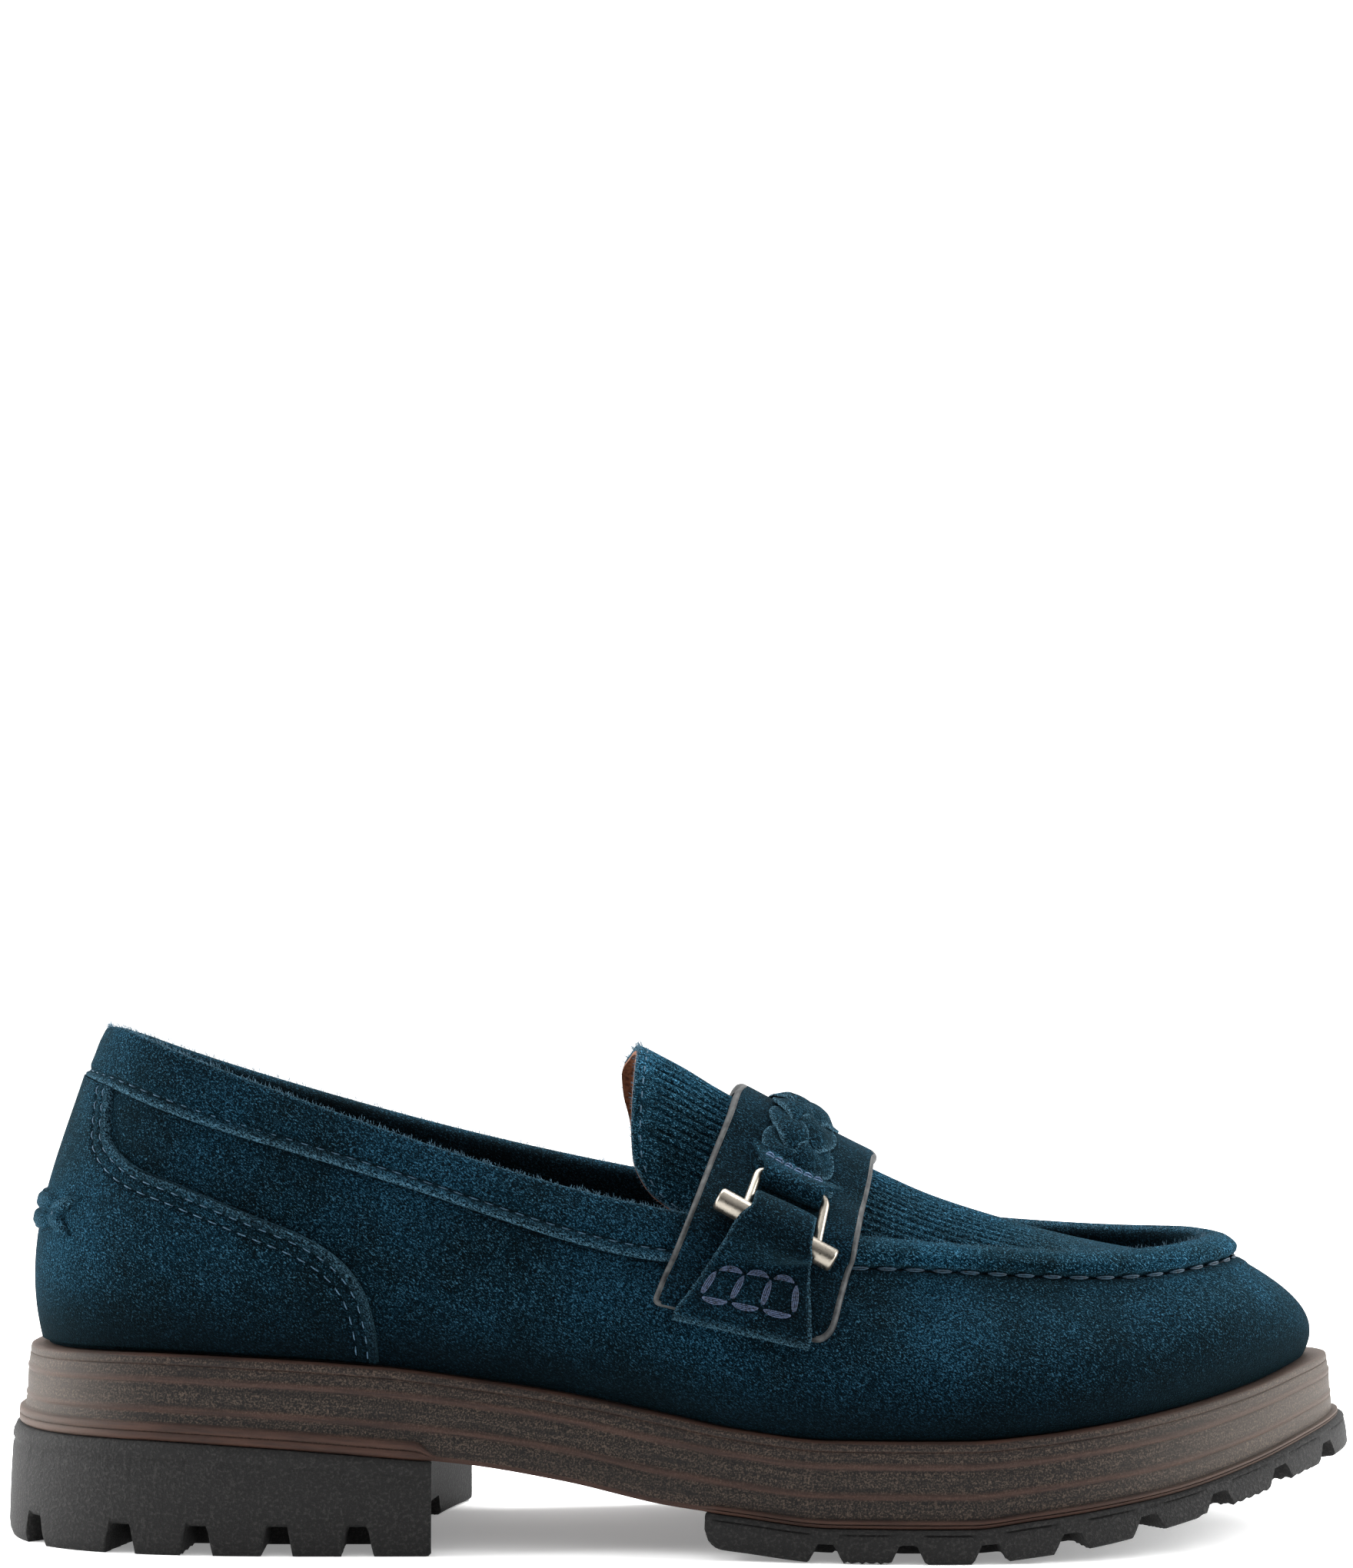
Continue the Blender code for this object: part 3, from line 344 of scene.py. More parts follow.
def midsole_look():
    """Dark speckled layers by height share, between reddish stripes streaked along the sole, and painted
    light that pales both ends.
    """
    made, tree, place = blank_look("stacked_brown_rubber", {"Roughness": 0.66, "Specular IOR Level": 0.2})
    share = field(tree, "share")
    axes = node(tree, "SeparateXYZ", {"Vector": place}).outputs
    layered = node(tree, "CombineXYZ", {"X": sums(tree, "MULTIPLY", axes["X"], STREAK_SCALE),
                                        "Y": sums(tree, "MULTIPLY", axes["Y"], STREAK_SCALE),
                                        "Z": sums(tree, "MULTIPLY", share, LAYER_SCALE)}).outputs[0]
    streak = noise(tree, layered, 1.0, 4.0, 0.65)
    speck = noise(tree, place, 2600.0, 3.0, 0.75)
    wander = sums(tree, "MULTIPLY", sums(tree, "SUBTRACT", streak, 0.5), STRIPE_WANDER)
    striped = ramp(tree, sums(tree, "ADD", share, wander), STRIPES)
    grains = ramp(tree, speck, [(0.40, srgb(3, 2, 2)), (0.50, srgb(20, 16, 13)), (0.60, srgb(68, 57, 48))])
    bands = mix(tree, ramp(tree, streak, [(0.36, 0.75), (0.56, 0.0)]), grains, srgb(5, 4, 4))
    brown = ramp(tree, streak, [(0.35, srgb(38, 24, 19)), (0.65, srgb(58, 38, 30))])
    layers = mix(tree, striped, bands, brown)
    # Painted light: the ends numbers pale heel and toe where the side lamps fall.
    return wired(made, {"Base Color": mix(tree, field(tree, "ends"), layers, srgb(88, 80, 73)),
                        "Normal": bump(tree, speck, 0.25, 0.45, bump(tree, streak, 0.3, 0.4))})


midsole_s = np.arange(MIDSOLE_COLUMNS) * STATIONS / MIDSOLE_COLUMNS
lip_high, lip_proud = (through(outline(midsole_s)[:, 0], LIP["x"], LIP[key]) for key in ("high", "proud"))
midsole_share = MIDSOLE_EDGE["share"][:, None] + 0 * midsole_s
midsole_height = midsole_share.copy()
midsole_height[:LIP_ROWS] *= lip_high
midsole_inset = MIDSOLE_EDGE["inset"][:, None] + 0 * midsole_s
midsole_inset[:LIP_ROWS] += (MIDSOLE_EDGE["inset"][LIP_ROWS] - midsole_inset[:LIP_ROWS]) * (1 - lip_proud)
midsole_rows = plan(midsole_s[None, :], midsole_inset)
midsole_joint = level("joint", midsole_rows[..., 0])
midsole_rows[..., 2] = midsole_joint + midsole_height * (level("deck", midsole_rows[..., 0]) - midsole_joint)
# Painted light on the midsole's ends, fading in from each end's x_from to its x_to.
midsole_lit_ends = sum(most * smooth((midsole_rows[..., 0] - x_from) / (x_to - x_from))
                   for x_from, x_to, most in zip(*SIDE_LIT_ENDS.values()))
midsole = surface("midsole_wedge", midsole_rows, midsole_look(),
                  fields={"share": midsole_share, "ends": midsole_lit_ends})
fit(midsole, "brown_midsole", "midsole")

# Heel block and forefoot tread. Charcoal rubber mouldings cemented under the midsole, their edges standing a
# little proud of it. Notches cut square to the edge leave the lugs, some of them finely ribbed, and the
# middle is relieved by a pocket under the heel and grooves under the ball.
OUTSOLE_EDGE = table("inset share", [
    (0.7, 0.00),
    (0.2, 0.05),
    (0.0, 0.12),
    (0.2, 0.40),
    (0.4, 0.60),
    (0.7, 0.80),
    (1.1, 0.84),
    (0.7, 0.88),
    (0.9, 0.93),
    (1.5, 0.985),
    (2.6, 1.00),
])
HEEL_TREAD = {"cut": (-3.20, 3.10), "bow": -5.5, "foot": 6.4, "top": 4.2, "deep": 6.0, "long": 15.0,
              "middle": -1.5, "relief": [(-74.0, 0.5, 72.0, 26.0, 4.4)],
              "notches": (14.9, 31.2, 47.6, 63.8, 86.0), "ribbed": (), "corner": 0.7, "front": -1}
FORE_TREAD = {"cut": (4.30, 11.82), "bow": 5.0, "foot": 7.0, "top": 3.4, "deep": 3.8, "long": 13.0,
              "middle": 1.0, "relief": [(x, 0.0, 5.0, 44.0, 3.0) for x in (22.0, 38.0, 54.0, 70.0, 86.0)],
              "notches": 8, "ribbed": ((31.0, 44.0), (105.0, 130.0)), "corner": 3.6, "front": 1}
FIRST_FORE_NOTCH = 24.5
RIB_PITCH = 1.9
RIB_DEEP = 0.45
NOTCH_SLOPE = 1.2
RELIEF_SLOPE = 0.8
JOINT_GAP = 0.1
TREAD_COLUMNS = (520, 90)
UNDER_ROWS = 52
SPINE_MARGIN = 34.0
TOP_REACH = 0.3


def run_of(points):
    """Distance run along a line of points."""
    return np.concatenate([[0.0], np.cumsum(np.linalg.norm(np.diff(points, axis=0), axis=1))])


def notch_places(tread):
    """Places s of the notches, counted along each side from the cut line."""
    heel = tread["front"] < 0
    places = []
    for start in tread["cut"]:
        s = np.linspace(start, 0.0 if heel else STATIONS / 2, 500)
        run = run_of(outline(s))
        if heel:
            distances = np.array(tread["notches"])
        else:
            spread = np.arange(tread["notches"]) / tread["notches"]
            distances = FIRST_FORE_NOTCH + spread * (run[-1] - FIRST_FORE_NOTCH)
        places.append(np.interp(distances, run, s))
    return np.concatenate(places)


def tread_floor(tread, points):
    """Height of the under side: the sole's floor line, raised in each notch, whose walls slope, in the pocket
    or grooves of the middle, between fine ribs, and in a quarter round along the cut line."""
    ends = outline(np.array(tread["cut"]))
    t = np.clip((points[..., 1] - ends[0, 1]) / (ends[1, 1] - ends[0, 1]), 0, 1)
    cut_x = ends[0, 0] * (1 - t) + ends[1, 0] * t + tread["bow"] * 4 * t * (1 - t)
    corner = tread["corner"]
    short = np.clip(corner - (points[..., 0] - cut_x) * tread["front"], 0, corner)
    raised = corner - np.sqrt(corner ** 2 - short ** 2)
    rib = RIB_DEEP * (0.5 - 0.5 * np.cos(2 * math.pi * points[..., 0] / RIB_PITCH))
    for low, high in tread["ribbed"]:
        raised = np.maximum(raised, rib * ((points[..., 0] > low) & (points[..., 0] < high)))
    for s in notch_places(tread):
        from_edge = points - outline(s)
        out = outward(s)
        inwards = -np.sum(from_edge * out, axis=-1)
        across = np.abs(from_edge[..., 0] * out[1] - from_edge[..., 1] * out[0])
        side = np.clip((tread["foot"] / 2 - across) / ((tread["foot"] - tread["top"]) / 2), 0, 1)
        end = np.clip((tread["long"] - inwards) / NOTCH_SLOPE, 0, 1)
        raised = np.maximum(raised, tread["deep"] * side * end)
    for x, y, long, wide, deep in tread["relief"]:
        inside = np.minimum(long / 2 - np.abs(points[..., 0] - x), wide / 2 - np.abs(points[..., 1] - y))
        raised = np.maximum(raised, deep * np.clip(inside / RELIEF_SLOPE, 0, 1))
    return level("floor", points[..., 0]) + raised


def tread_ring(tread, inset):
    """Loop round the tread at an inset for each place: the outsole's edge, then the bowed cut line."""
    along, across = TREAD_COLUMNS
    s = np.linspace(*tread["cut"], along)
    edge = plan(s, inset[:along])
    t = np.linspace(0, 1, across + 2)[1:-1, None]
    closing = edge[-1] * (1 - t) + edge[0] * t
    closing[:, 0] += tread["bow"] * 4 * t[:, 0] * (1 - t[:, 0])
    return np.concatenate([edge, closing])


def tread_grid(tread):
    """Rows of the tread: the under side from its spine out to the edge, the side up to the joint, the top.
    The under side shrinks the edge's loop towards a straight spine along the middle."""
    count = sum(TREAD_COLUMNS)
    foot = tread_ring(tread, np.full(count, OUTSOLE_EDGE["inset"][0]))
    spine = foot.copy()
    spine[:, 0] = np.clip(foot[:, 0], foot[:, 0].min() + SPINE_MARGIN, foot[:, 0].max() - SPINE_MARGIN)
    spine[:, 1] = tread["middle"]
    under = [spine + (foot - spine) * reach for reach in np.linspace(0.02, 1.0, UNDER_ROWS)]
    for ring in under:
        ring[:, 2] = tread_floor(tread, ring)
    ground, lowest = level("floor", foot[:, 0]), under[-1][:, 2]
    joint = level("joint", foot[:, 0]) - JOINT_GAP
    sides = []
    for share in OUTSOLE_EDGE["share"][1:]:
        z = lowest + share * (joint - lowest)
        inset = np.interp((z - ground) / (joint - ground), OUTSOLE_EDGE["share"], OUTSOLE_EDGE["inset"])
        ring = tread_ring(tread, inset)
        ring[:, 2] = z
        sides.append(ring)
    top = spine + (sides[-1] - spine) * TOP_REACH
    top[:, 2] = level("joint", top[:, 0]) - JOINT_GAP
    return np.array(under + sides + [top])


def tread_look():
    """Matt charcoal rubber with a fine moulded grain and dusty specks."""
    made, tree, place = blank_look("charcoal_rubber", {"Roughness": 0.72, "Specular IOR Level": 0.22})
    grain = noise(tree, place, 1600.0, 3.0, 0.7)
    cloud = noise(tree, place, 90.0, 3.0, 0.6)
    base = mix(tree, cloud, srgb(7, 7, 7), srgb(15, 15, 15))
    colour = mix(tree, ramp(tree, grain, [(0.50, 0.0), (0.66, 0.8)]), base, srgb(40, 39, 38))
    return wired(made, {"Base Color": colour, "Normal": bump(tree, grain, 0.3, 0.9)})


charcoal_rubber = tread_look()
heel = surface("heel_lugs", tread_grid(HEEL_TREAD), charcoal_rubber)
fit(heel, "black_heel_rubber", "heel_block")
forefoot = surface("forefoot_lugs", tread_grid(FORE_TREAD), charcoal_rubber)
fit(forefoot, "black_tread_rubber", "forefoot_outsole")

# Sock. A tan leather cover over thin foam, cemented to the deck inside the shoe. It rises a little at its
# edge, where it meets the wall.
GAP = 0.3
WALL = 2.0
EDGE_INSET = 4.8
SOCK_THICK = 3.6
SOCK_EDGE = table("inwards lift", [
    (0.6, 2 * GAP),
    (0.0, 1.2),
    (0.0, SOCK_THICK),
    (0.5, SOCK_THICK + 0.5),
    (1.6, SOCK_THICK + 0.3),
    (5.0, SOCK_THICK - 0.1),
    (12.0, SOCK_THICK),
    (22.0, SOCK_THICK),
])
SOCK_COLUMNS = 240
UPPER = table("out_x out_y in_x in_y out_z in_z out_band in_band lean shelf low shoulder", [
    (-124.0, -1.5, -124.0, -1.5, 94.9, 94.9, 10.0, 10.0, 3.6, 3.4, 5.3, 6.6),
    (-117.0, -17.0, -117.0, 14.0, 93.2, 93.2, 11.8, 9.6, 3.2, 3.4, 5.0, 6.2),
    (-97.0, -27.0, -97.0, 24.5, 86.2, 86.2, 12.2, 9.6, 2.6, 3.2, 4.5, 5.0),
    (-53.0, -31.5, -53.0, 29.5, 73.0, 73.3, 10.0, 9.5, 2.2, 2.4, 4.0, 4.5),
    (-8.0, -34.0, -6.0, 32.5, 59.8, 61.4, 10.5, 10.7, 3.0, 2.2, 5.0, 6.0),
    (38.5, -31.0, 42.0, 32.5, 57.2, 58.4, 6.4, 6.4, 4.0, 2.2, 6.5, 9.0),
    (84.0, -25.5, 88.0, 28.5, 54.7, 55.8, 5.5, 5.5, 4.3, 3.0, 6.0, 12.2),
    (108.0, -13.5, 109.5, 18.0, 55.8, 56.5, 5.1, 5.1, 4.4, 4.0, 4.6, 13.3),
    (116.5, 2.5, 116.5, 2.5, 56.5, 56.5, 5.0, 5.0, 4.5, 4.5, 4.2, 13.8),
])


def both(column, s):
    """A column of the upper's table that is the same on both sides."""
    return round_shoe(UPPER[column], UPPER[column], s)


def sock_look():
    """Smooth tan leather with fine pores."""
    made, tree, place = blank_look("tan_sock_leather", {"Roughness": 0.55, "Specular IOR Level": 0.4})
    cloud = noise(tree, place, 45.0, 3.0, 0.6)
    pores = noise(tree, place, 1100.0, 2.0, 0.6)
    colour = mix(tree, cloud, srgb(140, 92, 60), srgb(172, 120, 84))
    pored = mix(tree, ramp(tree, pores, [(0.3, 0.5), (0.5, 0.0)]), colour, srgb(104, 64, 40))
    return wired(made, {"Base Color": pored, "Normal": bump(tree, pores, 0.15, 0.4)})


sock_s = np.arange(SOCK_COLUMNS) * STATIONS / SOCK_COLUMNS
sock_inset = EDGE_INSET + both("shelf", sock_s) + WALL + 2 * GAP
sock_rows = plan(sock_s[None, :], sock_inset + SOCK_EDGE["inwards"][:, None])
sock_rows[..., 2] = level("deck", sock_rows[..., 0]) + SOCK_EDGE["lift"][:, None]
sock = surface("sock", sock_rows, sock_look())
fit(sock, "tan_insole", "insole")

# Upper wall. Quarters and vamp of dark teal suede, lasted over the form and turned in under the sock. The top
# line runs from the collar down to the moccasin seam. Soft hollows and creases lie where the foot bends.
LAST_LEAN = 0.36
SUEDE_WALL = 1.1
WALL_COLUMNS = 600
CREASES = table("side x z turn long wide deep", [
    (-1, -42.0, 58.0, -14.0, 40.0, 10.0, 0.9),
    (-1, 47.0, 45.0, 64.0, 11.0, 3.6, 0.7),
    (-1, 56.0, 43.0, 70.0, 10.0, 4.0, -0.4),
    (-1, 66.0, 44.5, 76.0, 9.0, 3.8, 0.5),
    (-1, -20.0, 46.0, 20.0, 16.0, 5.0, 0.5),
    (-1, 96.0, 44.0, -20.0, 16.0, 6.0, 0.5),
    (1, -40.0, 58.0, -14.0, 38.0, 10.0, 0.9),
    (1, 50.0, 45.0, 62.0, 11.0, 3.6, 0.7),
    (1, 60.0, 43.0, 70.0, 10.0, 4.0, -0.4),
    (1, 70.0, 44.5, 78.0, 9.0, 3.8, 0.5),
])
CREASE_START = 0.15
GATHER = {"below": 2.4, "high": 0.35, "wide": 0.8, "reach": 3.6, "fade": 1.2}
SUEDE_DARK = srgb(1, 10, 15)
SUEDE_MID = srgb(2, 25, 37)
SUEDE_LIGHT = srgb(54, 92, 112)
SUEDE_BLUE = srgb(48, 90, 114)
SUEDE_SHADE_AND_GAP = srgb(0, 1, 2)
SUEDE_HIGHLIGHT_AND_FRAY = srgb(76, 110, 128)
BRUSHED = 0.12
NAP_TURN = math.radians(40)
NAP_STROKE = (0.56 * MM, 0.30 * MM, 0.22 * MM)
FOOT_SHADE = {"most": 0.9, "high": 22.0}
SEAM_SHADE = {"most": 0.55, "wide": 1.1}
QUARTER_SHADE = {"most": 0.15, "front": 45.0, "fade": 50.0}


def feather(s):
    """Foot of the wall on the deck."""
    foot = plan(s, EDGE_INSET + both("shelf", s))
    foot[..., 2] = level("deck", foot[..., 0]) + GAP
    return foot


def seam(s):
    """Line where the wall meets the collar band or the moccasin rim."""
    x = round_shoe(UPPER["out_x"], UPPER["in_x"], s)
    y = round_shoe(UPPER["out_y"], UPPER["in_y"], s)
    return np.stack([x, y, round_shoe(UPPER["out_z"], UPPER["in_z"], s)], -1)


def wall(s, v):
    """Wall of the upper: at each s a cubic arc from the feather (v = 0) to the seam (v = 1)."""
    s, v = np.broadcast_arrays(np.asarray(s, float), np.asarray(v, float))
    foot, top, out = feather(s), seam(s), outward(s)
    rise = LAST_LEAN * (top - foot)[..., 2:] * UP
    low = foot + out * both("low", s)[..., None] + rise
    high = top + out * both("shoulder", s)[..., None] - rise
    t = v[..., None]
    return foot * (1 - t) ** 3 + 3 * low * t * (1 - t) ** 2 + 3 * high * t * t * (1 - t) + top * t ** 3


def wall_normal(s, v):
    """Outward unit normal of the wall."""
    step = 0.002
    s, v = np.broadcast_arrays(np.asarray(s, float), np.asarray(v, float))
    return unit(np.cross(wall(s + step, v) - wall(s - step, v), wall(s, v + step) - wall(s, v - step)))


def wall_off(s, v, distance):
    """Wall moved along its outward normal."""
    return wall(s, v) + np.asarray(distance)[..., None] * wall_normal(s, v)


def bell(offset, width):
    """1 at no offset, falling evenly to both sides."""
    return np.exp(-(offset / width) ** 2)


def creased(points):
    """Depth of the creases at points of the wall: each is a trough with a bell-shaped section and soft ends,
    lying on one side of the shoe at a turn from level. A negative depth is a ridge."""
    depth = np.zeros(points.shape[:-1])
    for side, x, z, turn, long, wide, deep in zip(*CREASES.values()):
        dx, dz = points[..., 0] - x, points[..., 2] - z
        cos, sin = math.cos(math.radians(turn)), math.sin(math.radians(turn))
        shape = np.exp(-((dx * cos + dz * sin) / long) ** 2 - ((dz * cos - dx * sin) / wide) ** 2)
        depth += deep * shape * (points[..., 1] * side > 0)
    return depth


def suede_look(name, tone=1.0):
    """Napped suede: short fibres lying forwards and down, patches where the nap is brushed, lighter tips.
    Numbers on the points add pale frayed fibre along edges, with a painted highlight along the tabs' feet,
    and painted shade that darkens towards the colour of the gaps."""
    made, tree, place = blank_look(name, {
        "Roughness": 0.95, "Specular IOR Level": 0.02, "Sheen Weight": 0.05, "Sheen Roughness": 0.45,
        "Sheen Tint": (0.25, 0.66, 0.85, 1.0)})
    dark, mid, light, blue, gap = (tuple(part * tone for part in colour[:3]) + (1.0,) for colour in (
        SUEDE_DARK, SUEDE_MID, SUEDE_LIGHT, SUEDE_BLUE, SUEDE_SHADE_AND_GAP))
    combed = node(tree, "Mapping", {"Vector": place, "Rotation": (0.0, NAP_TURN, 0.0), "Scale": NAP_STROKE},
                  vector_type="TEXTURE").outputs[0]
    fibre = noise(tree, combed, 1.0, 3.0, 0.7)
    fluff = noise(tree, place, 2600.0, 2.0, 0.6)
    brushed = noise(tree, place, 34.0, 3.0, 0.55)
    mottled = noise(tree, place, 260.0, 3.0, 0.6)
    lying = sums(tree, "ADD", sums(tree, "MULTIPLY", brushed, 0.6), sums(tree, "MULTIPLY", mottled, 0.4))
    base = mix(tree, ramp(tree, lying, [(0.38, 0.0), (0.62, 1.0)]), dark, mid)
    tuft = sums(tree, "ADD", sums(tree, "MULTIPLY", fibre, 0.7), sums(tree, "MULTIPLY", fluff, 0.3))
    gaps = mix(tree, ramp(tree, tuft, [(0.40, 1.0), (0.51, 0.0)]), base, gap)
    raised = sums(tree, "MULTIPLY_ADD", sums(tree, "SUBTRACT", brushed, 0.5), BRUSHED, tuft)
    tip = mix(tree, ramp(tree, brushed, [(0.42, 0.0), (0.60, 1.0)]), light, blue)
    tips = mix(tree, ramp(tree, raised, [(0.53, 0.0), (0.65, 1.0)]), gaps, tip)
    # Pale frayed fibre along edges, and at the tabs' feet a painted highlight.
    fray = sums(tree, "MULTIPLY", field(tree, "highlight_and_fray"), ramp(tree, tuft, [(0.46, 0.0), (0.58, 1.0)]))
    # Painted shade: the shade numbers darken the colour towards the gaps' colour.
    colour = mix(tree, field(tree, "shade"), mix(tree, fray, tips, SUEDE_HIGHLIGHT_AND_FRAY), gap)
    nap = bump(tree, fluff, 0.25, 0.5, bump(tree, fibre, 0.45, 0.9, bump(tree, mottled, 0.6, 0.3)))
    return wired(made, {"Base Color": colour, "Normal": nap})


def foot_shade(points):
    """Painted shade near the sole, fading upwards."""
    above_deck = points[..., 2] - level("deck", points[..., 0])
    return FOOT_SHADE["most"] * smooth(1 - above_deck / FOOT_SHADE["high"])


suede = suede_look("teal_suede_nap")
# A lighter copy of the suede for the moccasin rim and apron: painted light on their upward faces.
top_lit_suede = suede_look("top_lit_suede_nap", tone=1.6)
wall_s = np.arange(WALL_COLUMNS) * STATIONS / WALL_COLUMNS
wall_v = np.linspace(0, 1, 48)[:, None]
wall_outside = wall(wall_s[None, :], wall_v)
below_seam = np.linalg.norm(wall_outside - seam(wall_s)[None, :, :], axis=-1)
vamp_side = np.abs(wall_s - STATIONS / 2)[None, :]
gathered = GATHER["high"] * bell(below_seam - GATHER["below"], GATHER["wide"])
gathered *= smooth((GATHER["reach"] - vamp_side) / GATHER["fade"])
sunk = creased(wall_outside) * smooth(wall_v / CREASE_START) - gathered
wall_outside -= sunk[..., None] * wall_normal(wall_s[None, :], wall_v)
wall_inside = wall_off(wall_s[None, :], np.linspace(1.0, 0.0, 8)[:, None], np.array(-SUEDE_WALL))
wall_rows = np.concatenate([wall_outside, wall_inside])
quarter = smooth((QUARTER_SHADE["front"] - wall_rows[..., 0]) / QUARTER_SHADE["fade"])
wall_shade = np.maximum(foot_shade(wall_rows), QUARTER_SHADE["most"] * quarter)
sewn_shade = SEAM_SHADE["most"] * bell(below_seam, SEAM_SHADE["wide"])
wall_shade[:len(wall_v)] = np.maximum(wall_shade[:len(wall_v)], sewn_shade)
upper_wall = surface("upper_wall", wall_rows, suede, round_rows=True, caps=False,
                     fields={"shade": wall_shade})
fit(upper_wall, "teal_suede", "upper")

# Lining. Dark navy lining leather behind the wall, from the sock up into the collar. It is soft, thin and
# cemented to the suede.
LINING_V = (1.05, 0.0)
LINING_GAP = 0.1
LINING_ROWS = 18


def lining_look(name, dark, pale):
    """Soft lining leather with a faint grain."""
    made, tree, place = blank_look(name, {"Roughness": 0.8, "Specular IOR Level": 0.25})
    grain = noise(tree, place, 900.0, 3.0, 0.65)
    colour = mix(tree, ramp(tree, grain, [(0.35, 0.0), (0.65, 1.0)]), dark, pale)
    return wired(made, {"Base Color": colour, "Normal": bump(tree, grain, 0.2, 0.5)})


lining_v = np.linspace(*LINING_V, LINING_ROWS)[:, None]
lining_rows = np.concatenate([wall_off(wall_s[None, ::2], lining_v, np.array(-SUEDE_WALL - LINING_GAP)),
                              wall_off(wall_s[None, ::2], lining_v[::-1], np.array(-WALL))])
lining = surface("quarter_lining", lining_rows, lining_look("navy_lining", srgb(8, 14, 20), srgb(20, 30, 40)),
                 round_rows=True, caps=False)
fit(lining, "teal_suede", "upper")

# Moccasin rim and apron. The top of the vamp is rolled over a cord into a soft bead and hand-sewn to the
# apron, a plug of suede pin-tucked lengthwise over the toes and up the instep.
RIM_ROWS = table("inward lean upward height", [
    (1.2, 0.0, 0.2, 0.00),
    (-0.3, 0.0, 0.8, 0.10),
    (-0.6, 0.0, 0.0, 0.50),
    (0.4, 0.2, 0.0, 0.85),
    (0.0, 1.0, 0.0, 1.00),
    (2.0, 1.0, 0.0, 0.85),
    (3.0, 1.0, 0.0, 0.45),
    (3.0, 1.0, -0.8, 0.00),
    (3.0, 1.0, -4.2, 0.00),
])
RIM_SPAN = (4.42, 11.58)
RIM_STITCH = 5.7
RIM_GATHER = 0.22
RIM_COLUMNS = 44
RIM_CREST = 27
RIM_PULL_FADE = 9.0
RIM_WORN = {"most": 0.2, "wide": 2.5}
RIM_FAR_SHADE = {"most": 0.85, "columns": 5.0, "from": 7.6, "over": 1.2}
TUCK_POWER = 0.55
TUCK_TO_RIM = 0.15
TOE_SHADE = {"most": 0.7, "from": 78.0, "over": 26.0}
CROWN = table("x ridge edge", [
    (-16.0, 103.6, 64.0),
    (-10.5, 101.6, 64.0),
    (-8.0, 100.7, 64.0),
    (-4.0, 98.7, 64.0),
    (1.0, 96.0, 63.5),
    (7.0, 92.3, 63.0),
    (26.0, 82.0, 60.0),
    (43.0, 73.6, 57.5),
    (52.5, 69.4, 56.5),
    (64.5, 65.4, 55.5),
    (82.0, 60.6, 55.0),
    (96.0, 57.8, 55.0),
    (112.0, 55.4, 55.3),
])
CROWN_HALF = 24.0
CROWN_POWER = 2.4
APRON_REAR = 22.0
APRON_THICK = 1.8
EMBED = 2.4
TUCK_PITCH = 2.1
TUCK_DEEP = 0.65
TUCK_SHADE = 0.85
TUCKS_END = (56.0, 88.0)


def band_high(s):
    """Height of the collar band or the moccasin rim over the seam."""
    return round_shoe(UPPER["out_band"], UPPER["in_band"], s)


def band(s, rows):
    """Section over the band at each s (rows of the grid), by the columns of a band table: inward and upward
    from the seam, each a length plus a share of the band's lean or height."""
    s = np.asarray(s, float)[:, None]
    inward = rows["inward"] + rows["lean"] * both("lean", s)
    upward = rows["upward"] + rows["height"] * band_high(s)
    return seam(s) - outward(s) * inward[..., None] + upward[..., None] * UP


def rim_profile(rows, count):
    """The band table drawn out smoothly to more columns."""
    knots = np.arange(len(rows["inward"]))
    fine = np.linspace(0, knots[-1], count)
    return {key: through(fine, knots, values) for key, values in rows.items()}


def apron_edge(x, side):
    """Inner foot of the moccasin rim at x, on one side (-1 outer, 1 inner)."""
    s = np.linspace(RIM_SPAN[0], STATIONS / 2, 160)
    foot = band(s if side < 0 else STATIONS - s, RIM_ROWS)[:, -2]
    return through(x, foot[:, 0], foot[:, 1:])


def apron(x, share):
    """Apron: an arch across the shoe from rim to rim, share running -1 to 1 from outer to inner edge."""
    outer, inner = apron_edge(x, -1), apron_edge(x, 1)
    outer_y, inner_y = outer[..., 0] - EMBED, inner[..., 0] + EMBED
    foot = (outer[..., 1] + inner[..., 1]) / 2 - 0.4
    y = (outer_y + inner_y) / 2 + share * (inner_y - outer_y) / 2
    ridge = np.maximum(through(x, CROWN["x"], CROWN["ridge"]), foot)
    return np.stack([x, y, foot + (ridge - foot) * (1 - np.abs(share) ** CROWN_POWER)], -1)


def tucks(points, fade):
    """Depth of the pin tucks: narrow valleys between rounded ribs, spaced evenly over the arch."""
    steps = np.linalg.norm(np.diff(points, axis=1), axis=-1)
    over = np.concatenate([np.zeros((len(points), 1)), np.cumsum(steps, axis=1)], axis=1)
    over = over - over[:, [points.shape[1] // 2]]
    return TUCK_DEEP * (1 - np.abs(np.sin(math.pi * over / TUCK_PITCH)) ** TUCK_POWER) * fade


def grid_normal(grid):
    """Unit normals of a grid of points, rows x columns."""
    return unit(np.cross(np.gradient(grid, axis=0), np.gradient(grid, axis=1)))


def slab(name, over, under, look, fields=None):
    """Closed sheet between an upper and an under grid of points."""
    loop = np.concatenate([over, under[:, ::-1]], axis=1)
    if fields:
        fields = {key: np.concatenate([value, value[:, ::-1]], axis=1) for key, value in fields.items()}
    return surface(name, loop, look, fields=fields)


